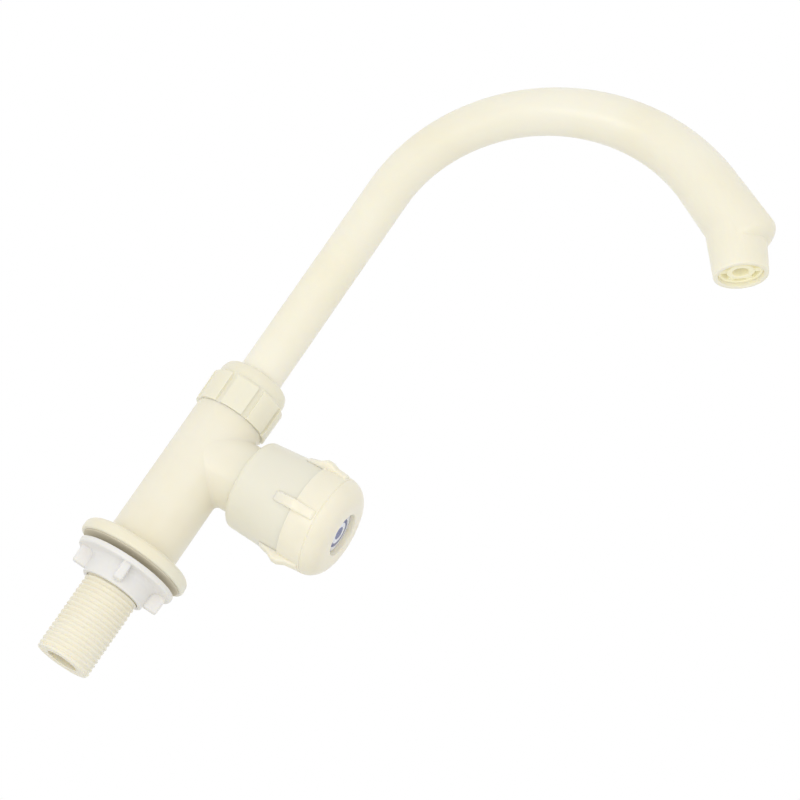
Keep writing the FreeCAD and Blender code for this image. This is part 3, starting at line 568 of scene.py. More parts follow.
@dataclass(frozen=True)
class Finish:
    """A finish, whose material is made when it is first worn.

    Attributes:
        name: Name of the material.
        colour: Its main colour, as screen values of 0 to 255.
        tint: The colour of its drift, bloom, tarnish, specks or print.
        patches: Pattern of the tint and its largest share.
        roughness: Its mean roughness.
        gloss: Patterns that sway the roughness, and how much.
        relief: Patterns of the relief from the lowest up, and their heights in mm.
        painted_glow: Painted light: an emission in the finish's own colour that lightens it where
            it sits in shade, though it is no lamp.
        extras: Other sockets of its shader.
    """

    name: str
    colour: Triple
    tint: Triple
    patches: Pattern = (Noise(6.0, 3.0), 1.0)
    roughness: float = 0.8
    gloss: Patterns = ()
    relief: Patterns = ()
    painted_glow: float = 0.0
    extras: Extras = ()

    def colouring(self, graph: ShaderGraph) -> Link:
        """The drifting colour."""
        kind, share = self.patches
        return graph.blend(graph.noise(kind) * share, self.colour, self.tint)

    def sockets(self, graph: ShaderGraph) -> dict[str, object]:
        """Work out the sockets of the finish's shader.

        Args:
            graph: The material's node tree.

        Returns:
            Values and links by the socket's name.
        """
        colour, roughness, relief = self.colouring(graph), self.roughness, None
        for kind, sway in self.gloss:
            roughness = roughness + (graph.noise(kind) - 0.5) * sway
        for kind, height in self.relief:
            relief = graph.bump(graph.noise(kind), height, relief)
        sockets = {"Base Color": colour, "Roughness": roughness, **dict(self.extras)}
        if relief is not None:
            sockets["Normal"] = relief
        # Painted light: the finish glows in its own colour, lightening it where it sits in shade.
        if self.painted_glow:
            sockets |= {"Emission Color": colour, "Emission Strength": self.painted_glow}
        return sockets

    @cached_property
    def material(self) -> bpy.types.Material:
        """The finish's one material.

        Returns:
            The material, made at the first call.
        """
        material = bpy.data.materials.new(self.name)
        graph = ShaderGraph(material)
        graph.surface(graph.node("BsdfPrincipled", self.sockets(graph)))
        return material


@dataclass(frozen=True)
class Moulding(Finish):
    """Injection-moulded plastic: its tint drifts, its skin is pebbled and its gloss uneven.

    Attributes:
        glow: Share of light that goes into the plastic and comes out beside.
        depth: How far that light goes, in mm.
        coat: Weight of the glossy skin over it.
    """

    patches: Pattern = (Noise(28.0, 3.0, 0.55, span=(0.3, 0.72)), 1.0)
    roughness: float = 0.38
    gloss: Patterns = ((Noise(160.0, 4.0, 0.6, stretch=(1.0, 1.0, 0.25)), 0.14),)
    relief: Patterns = ((Noise(210.0, 1.0, 0.4), 0.03), (Noise(1900.0), 0.01))
    extras: Extras = (("IOR", 1.5), ("Subsurface Radius", (1.0, 0.9, 0.6)),
                      ("Coat Roughness", 0.12))
    glow: float = 0.45
    depth: float = 2.4
    coat: float = 0.15

    def sockets(self, graph: ShaderGraph) -> dict[str, object]:
        """The sockets with the plastic's inner glow and its skin."""
        return super().sockets(graph) | {"Subsurface Weight": self.glow, "Coat Weight": self.coat,
                                         "Subsurface Scale": self.depth * MM}


@dataclass(frozen=True)
class BodyMoulding(Moulding):
    """The body's ivory plastic, with painted shade: a cooler, darker tone along the branch towards
    the valve chamber.

    Attributes:
        painted_shade: The cooler colour of the painted shade.
        painted_shade_share: Its largest share.
        branch: Where along the branch it begins and is full, in metres.
    """

    painted_shade: Triple = (230, 228, 214)
    painted_shade_share: float = 0.7
    branch: tuple[float, float] = (0.009, 0.024)

    def colouring(self, graph: ShaderGraph) -> Link:
        """The drifting colour, with painted shade cooler along the branch."""
        share = graph.parts()[0].rise(*self.branch) * self.painted_shade_share
        return graph.blend(share, super().colouring(graph), self.painted_shade)


@dataclass(frozen=True)
class Rubber(Finish):
    """Moulded rubber with a dry bloom and fine scuffs."""

    patches: Pattern = (Noise(90.0, 5.0, 0.65, span=(0.42, 0.75)), 0.6)
    roughness: float = 0.78
    gloss: Patterns = ((Noise(2400.0, 3.0, 0.6), 0.2),)
    relief: Patterns = ((Noise(2400.0, 3.0, 0.6), 0.02),)
    extras: Extras = (("IOR", 1.5), ("Specular IOR Level", 0.35))


@dataclass(frozen=True)
class TurnedMetal(Finish):
    """Turned or drawn metal with fine tool rings about the branch and a dulled skin."""

    patches: Pattern = (DULLING, 0.5)
    roughness: float = 0.4
    gloss: Patterns = ((DULLING, 0.2), (TOOL_RINGS, 0.1))
    relief: Patterns = ((TOOL_RINGS, 0.006),)
    extras: Extras = (("Metallic", 1.0),)


@dataclass(frozen=True)
class LappedCeramic(Finish):
    """Fired and lapped alumina, speckled and faintly uneven in gloss."""

    patches: Pattern = (Noise(3200.0, span=(0.62, 0.72)), 0.5)
    roughness: float = 0.23
    gloss: Patterns = ((Noise(260.0, 3.0), 0.14),)
    relief: Patterns = ((Noise(260.0, 3.0), 0.003),)
    extras: Extras = (("IOR", 1.76),)


@dataclass(frozen=True)
class ColdMark(Finish):
    """The knob's cap: white plastic printed with a plain blue ring and dot for cold water.

    Attributes:
        dot: Radius of the dot in mm.
        ring: Inner and outer radius of the ring in mm.
        blur: Half the width of the print's edge in mm.
        ink: Height of the print in mm.
        wear: Largest share of the wear in the print.
        worn: Pattern of the wear.
    """

    roughness: float = 0.28
    gloss: Patterns = ((Noise(400.0), 0.12),)
    extras: Extras = (("Coat Weight", 0.3), ("Coat Roughness", 0.1))
    dot: float = 2.5
    ring: tuple[float, float] = (4.1, 5.6)
    blur: float = 0.12
    ink: float = 0.02
    wear: float = 0.25
    worn: Noise = Noise(900.0, 4.0, 0.7, span=(0.25, 0.5))

    def mark(self, graph: ShaderGraph) -> Value:
        """Draw the ring and the dot.

        Args:
            graph: The material's node tree.

        Returns:
            1 where the cap is printed and 0 elsewhere.
        """
        _, across, up = graph.parts()
        high = up - BRANCH_HEIGHT * MM
        away = (across * across + high * high) ** 0.5
        blur, dot = self.blur * MM, self.dot * MM
        inner, outer = (reach * MM for reach in self.ring)
        band = away.rise(inner - blur, inner + blur) * away.rise(outer + blur, outer - blur)
        return band.larger(away.rise(dot + blur, dot - blur))

    def colouring(self, graph: ShaderGraph) -> Link:
        """The cap's colour under the worn print."""
        share = self.mark(graph) * (1.0 - self.wear + graph.noise(self.worn) * self.wear)
        return graph.blend(share, self.colour, self.tint)

    def sockets(self, graph: ShaderGraph) -> dict[str, object]:
        """The cap's sockets, with the print standing up from it."""
        return super().sockets(graph) | {"Normal": graph.bump(self.mark(graph), self.ink)}


# Painted light and shade: the spout's ivory is a few levels lighter and the body's a few levels
# darker than one plastic, for how the light falls on them.
IVORY_BODY_PAINTED_SHADE = BodyMoulding("ivory_body_painted_shade", (239, 234, 217), (235, 228, 205))
IVORY_SPOUT_PAINTED_LIGHT = Moulding("ivory_spout_painted_light", (245, 241, 226), (241, 235, 213),
                       (Noise(18.0, 3.0, 0.55, span=(0.3, 0.72)), 1.0))
IVORY_COLLAR = Moulding("ivory_collar", (237, 234, 217), (236, 230, 208))
IVORY_KNOB = Moulding("ivory_knob", (242, 236, 218), (237, 231, 209), roughness=0.36)
WHITE_NUT = Moulding("white_nut", (237, 234, 229), (231, 230, 228), roughness=0.42, glow=0.3,
                     depth=1.5, coat=0.0)
# Painted light: the insert glows a little in its own colour, lightening the shade inside the
# outlet.
INSERT_PLASTIC = Moulding("insert_plastic", (238, 233, 204), (232, 227, 192), roughness=0.3,
                          glow=0.3, depth=2.0, painted_glow=0.16)
SLIP_PLASTIC = Moulding("slip_plastic", (238, 238, 236), (228, 229, 230), coat=0.0)
# Painted light: the gasket glows in its own colour, lightening the shade in the gap between flange
# and nut.
GASKET_RUBBER = Rubber("gasket_rubber", (186, 179, 160), (196, 190, 174), painted_glow=0.25)
SEAL_RUBBER = Rubber("seal_rubber", (24, 24, 25), (52, 52, 52))
CERAMIC = LappedCeramic("lapped_ceramic", (238, 236, 230), (196, 192, 184))
BRASS = TurnedMetal("turned_brass", (222, 190, 112), (160, 122, 66))
STEEL = TurnedMetal("spring_steel", (196, 196, 194), (140, 138, 134), roughness=0.36)
COLD_CAP = ColdMark("cold_mark", (232, 235, 244), (38, 58, 132))
PALE_FLOOR = Finish("pale_floor", (246, 246, 245), (243, 243, 242))


def dressed(piece: Solid, finish: Finish, body: Body, node: str,
            angle: float = 35.0) -> Solid:
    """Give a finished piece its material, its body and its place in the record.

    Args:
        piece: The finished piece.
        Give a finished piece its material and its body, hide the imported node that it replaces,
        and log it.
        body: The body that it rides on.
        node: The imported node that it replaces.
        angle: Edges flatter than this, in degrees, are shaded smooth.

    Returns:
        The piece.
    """
    pick(piece)
    bpy.ops.object.shade_smooth_by_angle(angle=math.radians(angle))
    piece.data.materials.clear()
    piece.data.materials.append(finish.material)
    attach(piece, body.value)
    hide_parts(node)
    LOG.info("%s: %d faces on %s", piece.name, len(piece.data.polygons), body.value)
    return piece


# The tap's mouldings

@dataclass
class TapBody:
    """Shank, flange, column, branch and valve chamber in one moulding; sizes in mm."""

    crest: float = 10.46
    root: float = 10.0
    pitch: float = 1.814
    foot: float = -42.1
    joint: float = -1.0
    bore: float = 6.0
    mouth_flare: float = 1.2
    lead: float = 1.3
    lead_inset: float = 0.9
    lead_edge: float = 0.1
    room: float = 0.3
    bluntness: float = 0.8
    thread_points: int = 9
    spare_turns: int = 3
    facets: int = 64

    def thread_outline(self) -> Outline:
        """Draw one pitch of the rounded pipe thread.

        Returns:
            Its outline from root to root.
        """
        middle, swing = (self.crest + self.root) / 2, (self.crest - self.root) / 2
        start = self.foot - self.pitch
        outline = []
        for point in range(self.thread_points + 1):
            share = point / self.thread_points
            wave = -math.cos(math.tau * share)
            rounded = math.copysign(abs(wave) ** self.bluntness, wave)
            outline.append((middle + swing * rounded, start + share * self.pitch))
        return outline

    def shank(self) -> Solid:
        """Model the threaded shank with its lead-in and water bore.

        Returns:
            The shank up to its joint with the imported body.
        """
        shank = wire_of("shank", self.thread_outline(), closed=False)
        turns = math.ceil((self.joint - self.foot) / self.pitch) + self.spare_turns
        finish_with(shank, "SCREW", axis="Z", angle=math.tau, screw_offset=self.pitch * MM,
                    iterations=turns, steps=self.facets, render_steps=self.facets,
                    use_merge_vertices=True, merge_threshold=MERGE)
        with editing(shank):
            bpy.ops.mesh.remove_doubles(threshold=MERGE)
            face_outwards()
        sliced(shank, self.foot, keep_above=True)
        sliced(shank, self.joint, keep_above=False)
        blank = turned("shank_blank", [
            (0.0, self.foot - SPARE),
            (self.root - self.lead_inset, self.foot - SPARE),
            (self.root + self.lead_edge, self.foot),
            (self.crest + self.room, self.foot + self.lead),
            (self.crest + self.room, self.joint + SPARE),
            (0.0, self.joint + SPARE),
        ], COLUMN)
        work(shank, blank, Cut.TRIM)
        drill = turned("shank_drill", [
            (0.0, self.foot - SPARE),
            (self.bore + self.mouth_flare, self.foot - SPARE),
            (self.bore, self.foot + EDGE),
            (self.bore, self.joint + SPARE),
            (0.0, self.joint + SPARE),
        ], COLUMN)
        work(shank, drill, Cut.REMOVE)
        return shank

    def build(self) -> list[Solid]:
        """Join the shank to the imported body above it, and dress them as one.

        Returns:
            The dressed body.
        """
        upper = node_copy("valve_body", "upper_body")
        sliced(upper, self.joint, keep_above=True)
        pick(upper, self.shank())
        bpy.ops.object.join()
        return [dressed(named("body_moulding"), IVORY_BODY_PAINTED_SHADE, Body.TAP, "valve_body",
                        angle=30.0)]


@dataclass
class DeckGasket:
    """The flat rubber ring between flange and deck; sizes in mm."""

    inner: float = 10.68
    outer: float = 19.8
    height: float = 1.7

    def build(self) -> list[Solid]:
        """Model and dress the gasket.

        Returns:
            The dressed gasket.
        """
        gasket = turned("rubber_gasket", softened([
            Corner(self.inner, 0.0, soft=0.15),
            Corner(self.outer, 0.0, soft=0.25),
            Corner(self.outer, self.height, soft=0.25),
            Corner(self.inner, self.height, soft=0.15),
        ]), COLUMN, facets=128)
        return [dressed(gasket, GASKET_RUBBER, Body.TAP, "deck_gasket")]


@dataclass
class LockNut:
    """White nut with a round face, a hub and four wings; sizes in mm."""

    face: float = -2.05
    face_radius: float = 19.4
    face_thickness: float = 2.0
    draft: float = 0.15
    hub_radius: float = 12.2
    hub_flare: float = 0.4
    foot: float = -11.75
    bore: float = 10.53
    wing_foot: float = -10.55
    wing_reach: float = 17.7
    wing_width: float = 3.4
    wing_turn: float = 17.5
    wings: int = 4

    def wing(self) -> Solid:
        """Model the first wing, rooted inside the hub.

        Returns:
            The wing, along X.
        """
        root = (self.bore + self.hub_radius) / 2
        top = self.face - self.face_thickness / 2
        wing = slab("wing", [
            (root, top),
            (root, self.wing_foot),
            (self.wing_reach - self.draft, self.wing_foot),
            (self.wing_reach, top),
        ], self.wing_width)
        bevel(wing, width=0.9, segments=5)
        return wing

    def build(self) -> list[Solid]:
        """Model and dress the nut.

        Returns:
            The dressed nut.
        """
        rim = self.face - self.face_thickness
        nut = turned("wing_nut", softened([
            Corner(self.bore, self.face, EDGE),
            Corner(self.face_radius, self.face, EDGE),
            Corner(self.face_radius - self.draft, rim, soft=0.7),
            Corner(self.hub_radius + self.hub_flare, rim, soft=2.6),
            Corner(self.hub_radius, self.foot, soft=0.5),
            Corner(self.bore, self.foot, soft=0.1),
        ]), COLUMN, facets=128)
        work_round(nut, self.wing(), Cut.JOIN, COLUMN, self.wings, self.wing_turn)
        return [dressed(nut, WHITE_NUT, Body.NUT, "lock_nut", angle=40.0)]


@dataclass
class CollarNut:
    """A skirt with eight open finger channels under a smaller dome; sizes in mm."""

    foot: float = 63.65
    foot_radius: float = 14.5
    skirt_top: float = 75.4
    skirt_radius: float = 14.7
    dome_foot: float = 76.6
    dome_radius: float = 13.35
    shoulder: float = 78.7
    top: float = 82.0
    top_radius: float = 12.2
    bore: float = 11.75
    lip: float = 8.4
    lip_foot: float = 77.1
    channel_floor: float = 13.5
    channel_mouth: float = 15.7
    channel_slope: float = 1.2
    channel_width: float = 6.06
    channel_taper: float = 0.4
    channel_start: float = 33.5
    channels: int = 8

    def channel(self) -> Solid:
        """Model the form that cuts one channel, narrow at its floor and open at the foot.

        Returns:
            The cutting form.
        """
        low = self.foot - 2 * SPARE
        channel = slab("finger_channel", [
            (self.channel_floor, low),
            (self.channel_mouth, low),
            (self.channel_mouth, self.dome_foot + self.channel_slope),
            (self.channel_floor, self.dome_foot),
        ], self.channel_width)
        narrowed(channel, 0.0, self.channel_floor + EDGE, self.channel_taper)
        bevel(channel, width=0.45, segments=4)
        return channel

    def build(self) -> list[Solid]:
        """Model and dress the collar nut.

        Returns:
            The dressed nut.
        """
        collar = turned("collar_nut", softened([
            Corner(self.bore, self.foot, EDGE),
            Corner(self.foot_radius, self.foot, soft=0.15),
            Corner(self.skirt_radius, self.skirt_top, soft=0.8),
            Corner(self.dome_radius, self.dome_foot, soft=0.6),
            Corner(self.dome_radius, self.shoulder, soft=2.0),
            Corner(self.top_radius, self.top, soft=2.2),
            Corner(self.lip, self.top, soft=0.4),
            Corner(self.lip, self.lip_foot),
            Corner(self.bore, self.lip_foot),
        ], chords=7), COLUMN, facets=144)
        work_round(collar, self.channel(), Cut.REMOVE, COLUMN, self.channels, self.channel_start)
        bevel(collar, width=0.3)
        return [dressed(collar, IVORY_COLLAR, Body.TAP, "spout_nut", angle=40.0)]


@dataclass(frozen=True)
class Ring:
    """A ring on the spout's path, headed so many degrees from upright; sizes in mm."""

    centre: Vector
    heading: float
    radius: float


@dataclass
class Gooseneck:
    """Spout with a straight tail, a swelling bend, a domed end, a nozzle and its insert; in mm.

    Attributes:
        dome_turns: Angles in degrees at which rings are drawn round the domed end.
        clip_groove: Lower and upper height of the clip's groove, and its radius.
    """

    foot: float = 62.1
    foot_chamfer: float = 0.5
    radius: float = 8.3
    end_radius: float = 11.3
    end_swell: float = 0.6
    bend_height: float = 171.0
    bend_radius: float = 69.0
    bend_angle: float = 118.5
    end_length: float = 26.2
    end_dome: float = 6.0
    dome_turns: range = range(8, 88, 8)
    nozzle_angle: float = 145.0
    nozzle_set_back: float = 8.1
    nozzle_length: float = 22.0
    nozzle_radius: float = 10.2
    nozzle_draft: float = 1.2
    nozzle_bore: float = 8.4
    bore_depth: float = 9.0
    bore_chamfer: float = 0.35
    ring_grooves: tuple[float, ...] = (65.1, 69.5)
    ring_groove_half: float = 0.83
    ring_groove_radius: float = 6.69
    clip_groove: Triple = (75.45, 77.05, 7.3)
    insert_set_in: float = 1.6
    insert_height: float = 5.0
    insert_radius: float = 8.35
    insert_rim: float = 1.1
    hub_radius: float = 5.2
    hub_draft: float = 0.1
    hub_hole: float = 3.1
    rib_width: float = 2.4
    rib_height: float = 4.5
    rib_sink: float = 0.6
    ribs: int = 6
    bend_steps: int = 60
    facets: int = 72

    def bend_point(self, angle: float) -> Vector:
        """Centre of the spout at an angle in radians round the bend."""
        return Vector((self.bend_radius * (1 - math.cos(angle)), 0.0,
                       self.bend_height + self.bend_radius * math.sin(angle)))

    def end_point(self, beyond: float) -> Vector:
        """Centre of the spout at a length in mm beyond the bend."""
        angle = math.radians(self.bend_angle)
        return self.bend_point(angle) + Vector((math.sin(angle), 0.0, math.cos(angle))) * beyond

    def nozzle_place(self) -> Matrix:
        """Place of the nozzle's axis, from inside the spout's end towards the outlet."""
        start = self.end_point(self.end_length - self.nozzle_set_back)
        return (Matrix.Translation(start * MM)
                @ Matrix.Rotation(math.radians(self.nozzle_angle), 4, "Y"))

    def rings(self) -> list[Ring]:
        """List the rings on the spout's path.

        Returns:
            The rings, from its foot to its domed end.
        """
        half, groove = self.ring_groove_half, self.ring_groove_radius
        tail = [(self.foot, self.radius - self.foot_chamfer),
                (self.foot + self.foot_chamfer, self.radius)]
        for low, high, radius in (*((middle - half, middle + half, groove)
                                    for middle in self.ring_grooves), self.clip_groove):
            tail += [(low, self.radius), (low, radius), (high, radius), (high, self.radius)]
        tail.append((self.bend_height, self.radius))
        rings = [Ring(Vector((0.0, 0.0, height)), 0.0, radius) for height, radius in tail]
        for step in range(1, self.bend_steps + 1):
            share = step / self.bend_steps
            swell = (self.end_radius - self.radius) * share ** 2
            rings.append(Ring(self.bend_point(math.radians(self.bend_angle * share)),
                              self.bend_angle * share, self.radius + swell))
        swollen = self.end_radius + self.end_swell
        for turn in (0, *self.dome_turns):
            lift = self.end_dome * math.sin(math.radians(turn))
            rings.append(Ring(self.end_point(self.end_length + lift), self.bend_angle,
                              swollen * math.cos(math.radians(turn))))
        return rings

    def tube(self) -> Solid:
        """Draw the spout as one run, ring by ring.

        Returns:
            The closed tube.
        """
        rings = self.rings()
        bpy.ops.mesh.primitive_circle_add(
            vertices=self.facets, radius=rings[0].radius * MM, fill_type="NGON",
            location=rings[0].centre * MM)
        tube = named("gooseneck")
        settle(tube, COLUMN)
        with editing(tube, "FACE"):
            for last, ring in pairwise(rings):
                step, pivot = (ring.centre - last.centre) * MM, tuple(ring.centre * MM)
                bpy.ops.mesh.extrude_region_move(TRANSFORM_OT_translate={"value": tuple(step)})
                if ring.heading != last.heading:
                    bpy.ops.transform.rotate(value=math.radians(last.heading - ring.heading),
                                             orient_axis="Y", center_override=pivot)
                if ring.radius != last.radius:
                    bpy.ops.transform.resize(value=(ring.radius / last.radius,) * 3,
                                             center_override=pivot)
            face_outwards()
        return tube

    def spout(self) -> Solid:
        """Model the tube with its nozzle and the outlet's bore.

        Returns:
            The spout.
        """
        spout, place, mouth = self.tube(), self.nozzle_place(), self.nozzle_length
        nozzle = turned("nozzle", softened([
            Corner(0.0, 0.0),
            Corner(self.nozzle_radius + self.nozzle_draft, 0.0),
            Corner(self.nozzle_radius, mouth, soft=0.6),
            Corner(0.0, mouth),
        ]), place)
        work(spout, nozzle, Cut.JOIN)
        drill = turned("outlet_drill", [
            (0.0, mouth - self.bore_depth),
            (self.nozzle_bore, mouth - self.bore_depth),
            (self.nozzle_bore, mouth - self.bore_chamfer),
            (self.nozzle_bore + self.bore_chamfer, mouth),
            (self.nozzle_bore + self.bore_chamfer, mouth + SPARE),
            (0.0, mouth + SPARE),
        ], place)
        work(spout, drill, Cut.REMOVE)
        return spout

    def insert(self) -> Solid:
        """Model the pierced insert: rim, tubular hub and ribs.

        Returns:
            The insert in its place in the outlet.
        """
        place = self.nozzle_place()
        low = self.nozzle_length - self.insert_set_in - self.insert_height
        high = low + self.insert_height
        insert = turned("outlet_insert", softened([
            Corner(self.insert_radius - self.insert_rim, low, EDGE),
            Corner(self.insert_radius, low, EDGE),
            Corner(self.insert_radius, high, soft=0.35),
            Corner(self.insert_radius - self.insert_rim, high, soft=0.35),
        ]), place)
        hub = turned("insert_hub", softened([
            Corner(self.hub_hole, low, EDGE),
            Corner(self.hub_radius, low, EDGE),
            Corner(self.hub_radius - self.hub_draft, high, soft=0.3),
            Corner(self.hub_hole, high, soft=0.3),
        ]), place, facets=64)
        inner, outer = self.hub_radius - self.rib_sink, self.insert_radius - self.rib_sink
        rib = slab("insert_rib", [
            (inner, low), (outer, low),
            (outer, low + self.rib_height), (inner, low + self.rib_height),
        ], self.rib_width)
        bevel(rib, width=0.25)
        settle(rib, place)
        work_round(insert, rib, Cut.JOIN, place, self.ribs)
        work(insert, hub, Cut.JOIN)
        return insert

    def build(self) -> list[Solid]:
        """Model and dress the spout and its insert.

        Returns:
            The two dressed pieces.
        """
        return [
            dressed(self.spout(), IVORY_SPOUT_PAINTED_LIGHT, Body.SPOUT, "spout", angle=32.0),
            dressed(self.insert(), INSERT_PLASTIC, Body.SPOUT,
                    "flow_straightener", angle=40.0),
        ]


@dataclass
class Knob:
    """Domed knob with grip lugs that reach back over the valve chamber, and its cap; in mm.

    Attributes:
        lug_back: Radius of the points along a lug's back, and how far they lie from the rear.
        chamber_taper: How far behind the rear the chamber's taper begins and ends.
    """

    rear: float = 43.7
    front: float = 59.4
    radius: float = 18.9
    wall: float = 2.6
    dome: float = 7.6
    cavity: float = 53.1
    recess_radius: float = 7.9
    recess_draft: float = 0.15
    recess_floor: float = 56.7
    groove_front: float = 53.5
    groove_width: float = 0.6
    groove_flare: float = 0.3
    groove_radius: float = 18.6
    lug_under: float = 18.08
    lug_root: float = 17.0
    lug_tail: float = 7.8
    lug_step: float = 0.5
    lug_back: tuple[tuple[float, float], ...] = (
        (19.7, -3.4), (21.2, -0.8), (21.2, 1.2), (20.0, 4.0), (19.6, 8.6))
    lug_width: float = 6.2
    lug_taper: float = 0.62
    lug_turn: float = -5.0
    lugs: int = 5
    chamber_draft: float = 0.35
    chamber_taper: tuple[float, float] = (12.0, 6.0)
    chamber_reach: float = 0.6
    cap_height: float = 1.0
    cap_gap: float = 0.1
    cap_edge: float = 0.4
    cap_crown: float = 0.05
    cap_shoulder: float = 0.6
    facets: int = 144

    def shell(self) -> Solid:
        """Model the turned shell with its dome and recess.

        Returns:
            The shell.
        """
        inside = self.radius - self.wall
        return turned("knob_shell", softened([
            Corner(0.0, self.recess_floor),
            Corner(self.recess_radius, self.recess_floor, EDGE),
            Corner(self.recess_radius + self.recess_draft, self.front, soft=0.6),
            Corner(self.radius, self.front, self.dome),
            Corner(self.radius, self.rear, EDGE),
            Corner(inside, self.rear, EDGE),
            Corner(inside, self.cavity, soft=1.0),
            Corner(0.0, self.cavity),
        ], chords=16), BRANCH, self.facets)

    def groove(self) -> Solid:
        """Model the form that cuts the fine groove behind the dome.

        Returns:
            The cutting form.
        """
        rear = self.groove_front - self.groove_width
        return turned("ring_groove", softened([
            Corner(self.groove_radius, rear, EDGE),
            Corner(self.radius + SPARE, rear - self.groove_flare),
            Corner(self.radius + SPARE, self.groove_front + self.groove_flare),
            Corner(self.groove_radius, self.groove_front, EDGE),
        ]), BRANCH, self.facets)

    def lug(self) -> Solid:
        """Model a grip lug: a low tail over the chamber, a crest and a ridge to the groove.

        Returns:
            The first lug, cut to the chamber that it turns over.
        """
        lug = slab("grip_lug", [
            (self.lug_root, self.rear - self.lug_tail),
            (self.lug_under + self.lug_step, self.rear - self.lug_tail),
            *((radius, self.rear + along) for radius, along in self.lug_back),
            (self.lug_root, self.rear + self.lug_back[-1][1]),
        ], self.lug_width)
        narrowed(lug, self.lug_under, math.inf, self.lug_taper)
        bevel(lug, width=1.2, segments=6, angle=35.0)
        settle(lug, BRANCH)
        far, near = (self.rear - back for back in self.chamber_taper)
        chamber = turned("chamber_room", [
            (0.0, far),
            (self.lug_under - self.chamber_draft, far),
            (self.lug_under, near),
            (self.lug_under, self.rear + self.chamber_reach),
            (0.0, self.rear + self.chamber_reach),
        ], BRANCH, self.facets)
        work(lug, chamber, Cut.REMOVE)
        return lug

    def cap(self) -> Solid:
        """Model the shallow domed cap in the knob's recess.

        Returns:
            The cap.
        """
        crown, rim = self.recess_floor + self.cap_height, self.recess_radius - self.cap_gap
        return turned("knob_cap", softened([
            Corner(0.0, self.recess_floor),
            Corner(rim, self.recess_floor),
            Corner(rim, crown - self.cap_edge, soft=0.25),
            Corner(self.recess_radius * self.cap_shoulder, crown - self.cap_crown, soft=2.0),
            Corner(0.0, crown),
        ]), BRANCH)

    def build(self) -> list[Solid]:
        """Model and dress the knob and its cap.

        Returns:
            The two dressed pieces.
        """
        knob = self.shell()
        work_round(knob, self.lug(), Cut.JOIN, BRANCH, self.lugs, self.lug_turn)
        work(knob, self.groove(), Cut.REMOVE)
        return [
            dressed(knob, IVORY_KNOB, Body.CONTROL, "knob", angle=38.0),
            dressed(self.cap(), COLD_CAP, Body.CONTROL, "index_button"),
        ]


@dataclass
class InnerParts:
    """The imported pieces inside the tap, which keep their shape and get their finishes."""

    wear: tuple[tuple[Finish, tuple[str, ...]], ...] = (
        (SLIP_PLASTIC, ("spout_washer", "spout_split_ring", "thrust_washer")),
        (SEAL_RUBBER, ("spout_o_rings", "seat_ring", "cartridge_o_ring", "spindle_o_rings")),
        (CERAMIC, ("fixed_disc", "moving_disc")),
        (BRASS, ("cartridge_body", "spindle")),
        (STEEL, ("retaining_clip", "knob_screw")),
    )

    def build(self) -> list[Solid]:
        """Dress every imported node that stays.

        Returns:
            The dressed nodes.
        """
        pieces = []
        for finish, nodes in self.wear:
            for node in nodes:
                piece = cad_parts[node]
                for slot in piece.material_slots:
                    slot.material = finish.material
                LOG.info("%s: packed shape, %s", node, finish.name)
                pieces.append(piece)
        return pieces


# Studio

@dataclass(frozen=True)
class Lamp:
    """A soft square lamp.

    Attributes:
        name: Its name.
        place: How far to the camera's right of the tap it hangs, how far above the tap in the
            picture and how far towards the camera, in mm.
        size: Its side in mm.
        power: Its power in watts.
        colour: Colour of its light.
    """

    name: str
    place: Triple
    size: float
    power: float
    colour: Triple = (1.0, 1.0, 1.0)


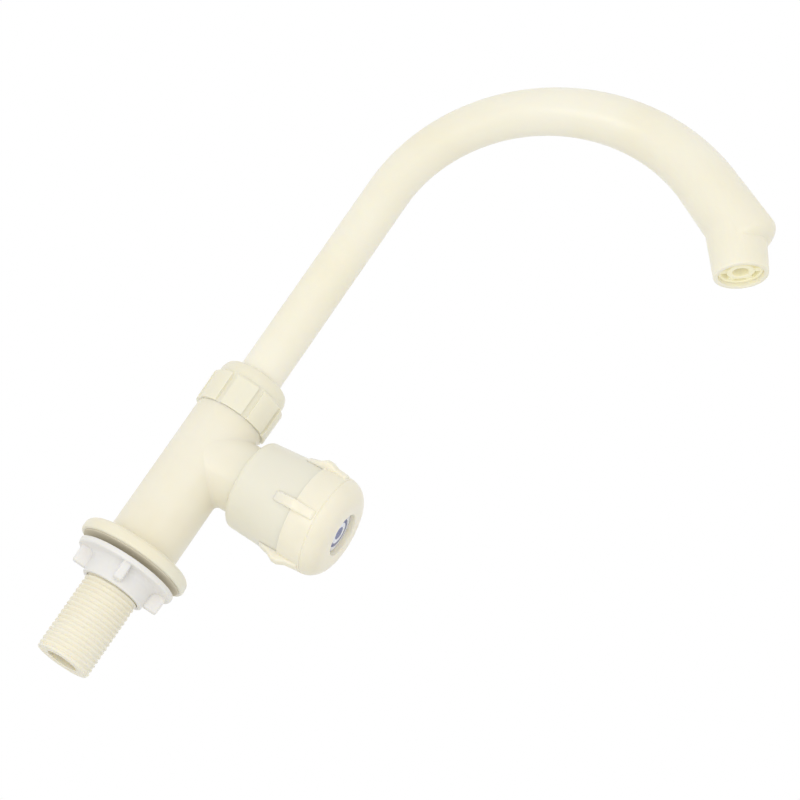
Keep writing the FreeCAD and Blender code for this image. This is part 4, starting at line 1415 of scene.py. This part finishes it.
@dataclass
class Studio:
    """A white world, soft lamps, a pale floor and a camera low at the tap's side.

    Sizes are in mm and angles in degrees; the camera's clip distances are in metres.
    """

    azimuth: float = 17.5
    elevation: float = -18.5
    roll: float = 33.9
    distance: float = 900.0
    focal_pixels: float = 2559.0
    frame_pixels: float = 800.0
    anchor: Triple = (0.0, 0.0, -1.2)
    anchor_pixel: tuple[float, float] = (128.51, 565.96)
    sensor: float = 36.0
    clip: tuple[float, float] = (0.01, 20.0)
    aim: Triple = (65.0, 0.0, 120.0)
    lamps: tuple[Lamp, ...] = (
        Lamp("key", (-330.0, 90.0, 800.0), 420.0, 1.35, (1.0, 0.993, 0.98)),
        Lamp("fill", (200.0, 200.0, 900.0), 500.0, 0.5),
    )
    soft_colour: Triple = (1.0, 0.997, 0.985)
    soft_power: float = 0.86
    floor_height: float = -500.0
    floor_size: float = 8000.0

    def basis(self) -> tuple[Vector, Vector, Vector]:
        """Work out how the camera is turned.

        Returns:
            Its right, up and backward directions.
        """
        azimuth, elevation, roll = map(math.radians, (self.azimuth, self.elevation, self.roll))
        back = Vector((math.sin(azimuth) * math.cos(elevation),
                       -math.cos(azimuth) * math.cos(elevation), math.sin(elevation)))
        level = Vector((math.cos(azimuth), math.sin(azimuth), 0.0))
        plumb = back.cross(level)
        right = level * math.cos(roll) + plumb * math.sin(roll)
        return right, plumb * math.cos(roll) - level * math.sin(roll), back

    def camera(self) -> None:
        """Set the camera so that the anchor falls on its pixel of the picture."""
        right, up, back = self.basis()
        across, down = (pixel - self.frame_pixels / 2 for pixel in self.anchor_pixel)
        place = (Vector(self.anchor) + back * self.distance
                 - right * (across / self.focal_pixels * self.distance)
                 + up * (down / self.focal_pixels * self.distance))
        data = bpy.data.cameras.new("portrait")
        data.sensor_width = self.sensor
        data.lens = self.focal_pixels / self.frame_pixels * self.sensor
        data.clip_start, data.clip_end = self.clip
        camera = bpy.data.objects.new("portrait", data)
        turn = Matrix((right, up, back)).transposed().to_4x4()
        camera.matrix_world = Matrix.Translation(place * MM) @ turn
        bpy.context.collection.objects.link(camera)
        bpy.context.scene.camera = camera

    def hang(self, lamp: Lamp) -> None:
        """Hang a lamp and turn it to the tap.

        Args:
            lamp: The lamp.
        """
        aim = Vector(self.aim)
        place = aim.copy()
        for direction, length in zip(self.basis(), lamp.place):
            place += direction * length
        data = bpy.data.lights.new(lamp.name, "AREA")
        data.shape = "SQUARE"
        data.size = lamp.size * MM
        data.energy = lamp.power
        data.color = lamp.colour
        light = bpy.data.objects.new(lamp.name, data)
        light.location = place * MM
        light.rotation_euler = (place - aim).to_track_quat("Z", "Y").to_euler()
        bpy.context.collection.objects.link(light)

    def world(self) -> None:
        """White where the camera and gloss look, and a soft grey light elsewhere."""
        world = bpy.data.worlds.new("white_room")
        graph = ShaderGraph(world)
        path = graph.node("LightPath")
        camera, glossy, clear = (Value(graph, path.outputs[name]) for name in (
            "Is Camera Ray", "Is Glossy Ray", "Is Transmission Ray"))
        soft, white = (
            graph.node("Background", {"Color": (*colour, 1.0), "Strength": power})
            for colour, power in ((self.soft_colour, self.soft_power), ((1.0, 1.0, 1.0), 1.0)))
        graph.surface(graph.node("MixShader", {
            0: camera.larger(glossy).larger(clear), 1: soft.outputs[0], 2: white.outputs[0],
        }), "OutputWorld")
        bpy.context.scene.world = world

    def floor(self) -> None:
        """Lay a wide pale floor, well under the tap."""
        bpy.ops.mesh.primitive_plane_add(size=self.floor_size * MM,
                                         location=(0.0, 0.0, self.floor_height * MM))
        floor = named("pale_floor")
        floor.data.materials.append(PALE_FLOOR.material)

    def build(self) -> None:
        """Set up camera, lamps, world and floor."""
        bpy.context.scene.view_settings.view_transform = "Standard"
        self.camera()
        for lamp in self.lamps:
            self.hang(lamp)
        self.world()
        self.floor()
        LOG.info("studio: camera, %d lamps, world and floor", len(self.lamps))


def main() -> None:
    """Build the studio and the tap, sub-assembly by sub-assembly."""
    logging.basicConfig(level=logging.INFO, format="%(name)s %(message)s")
    Studio().build()
    for assembly in (TapBody(), DeckGasket(), LockNut(), CollarNut(), Gooseneck(), Knob(),
                     InnerParts()):
        LOG.info("%s done, %d pieces", type(assembly).__name__, len(assembly.build()))


if __name__ == "__main__":
    main()
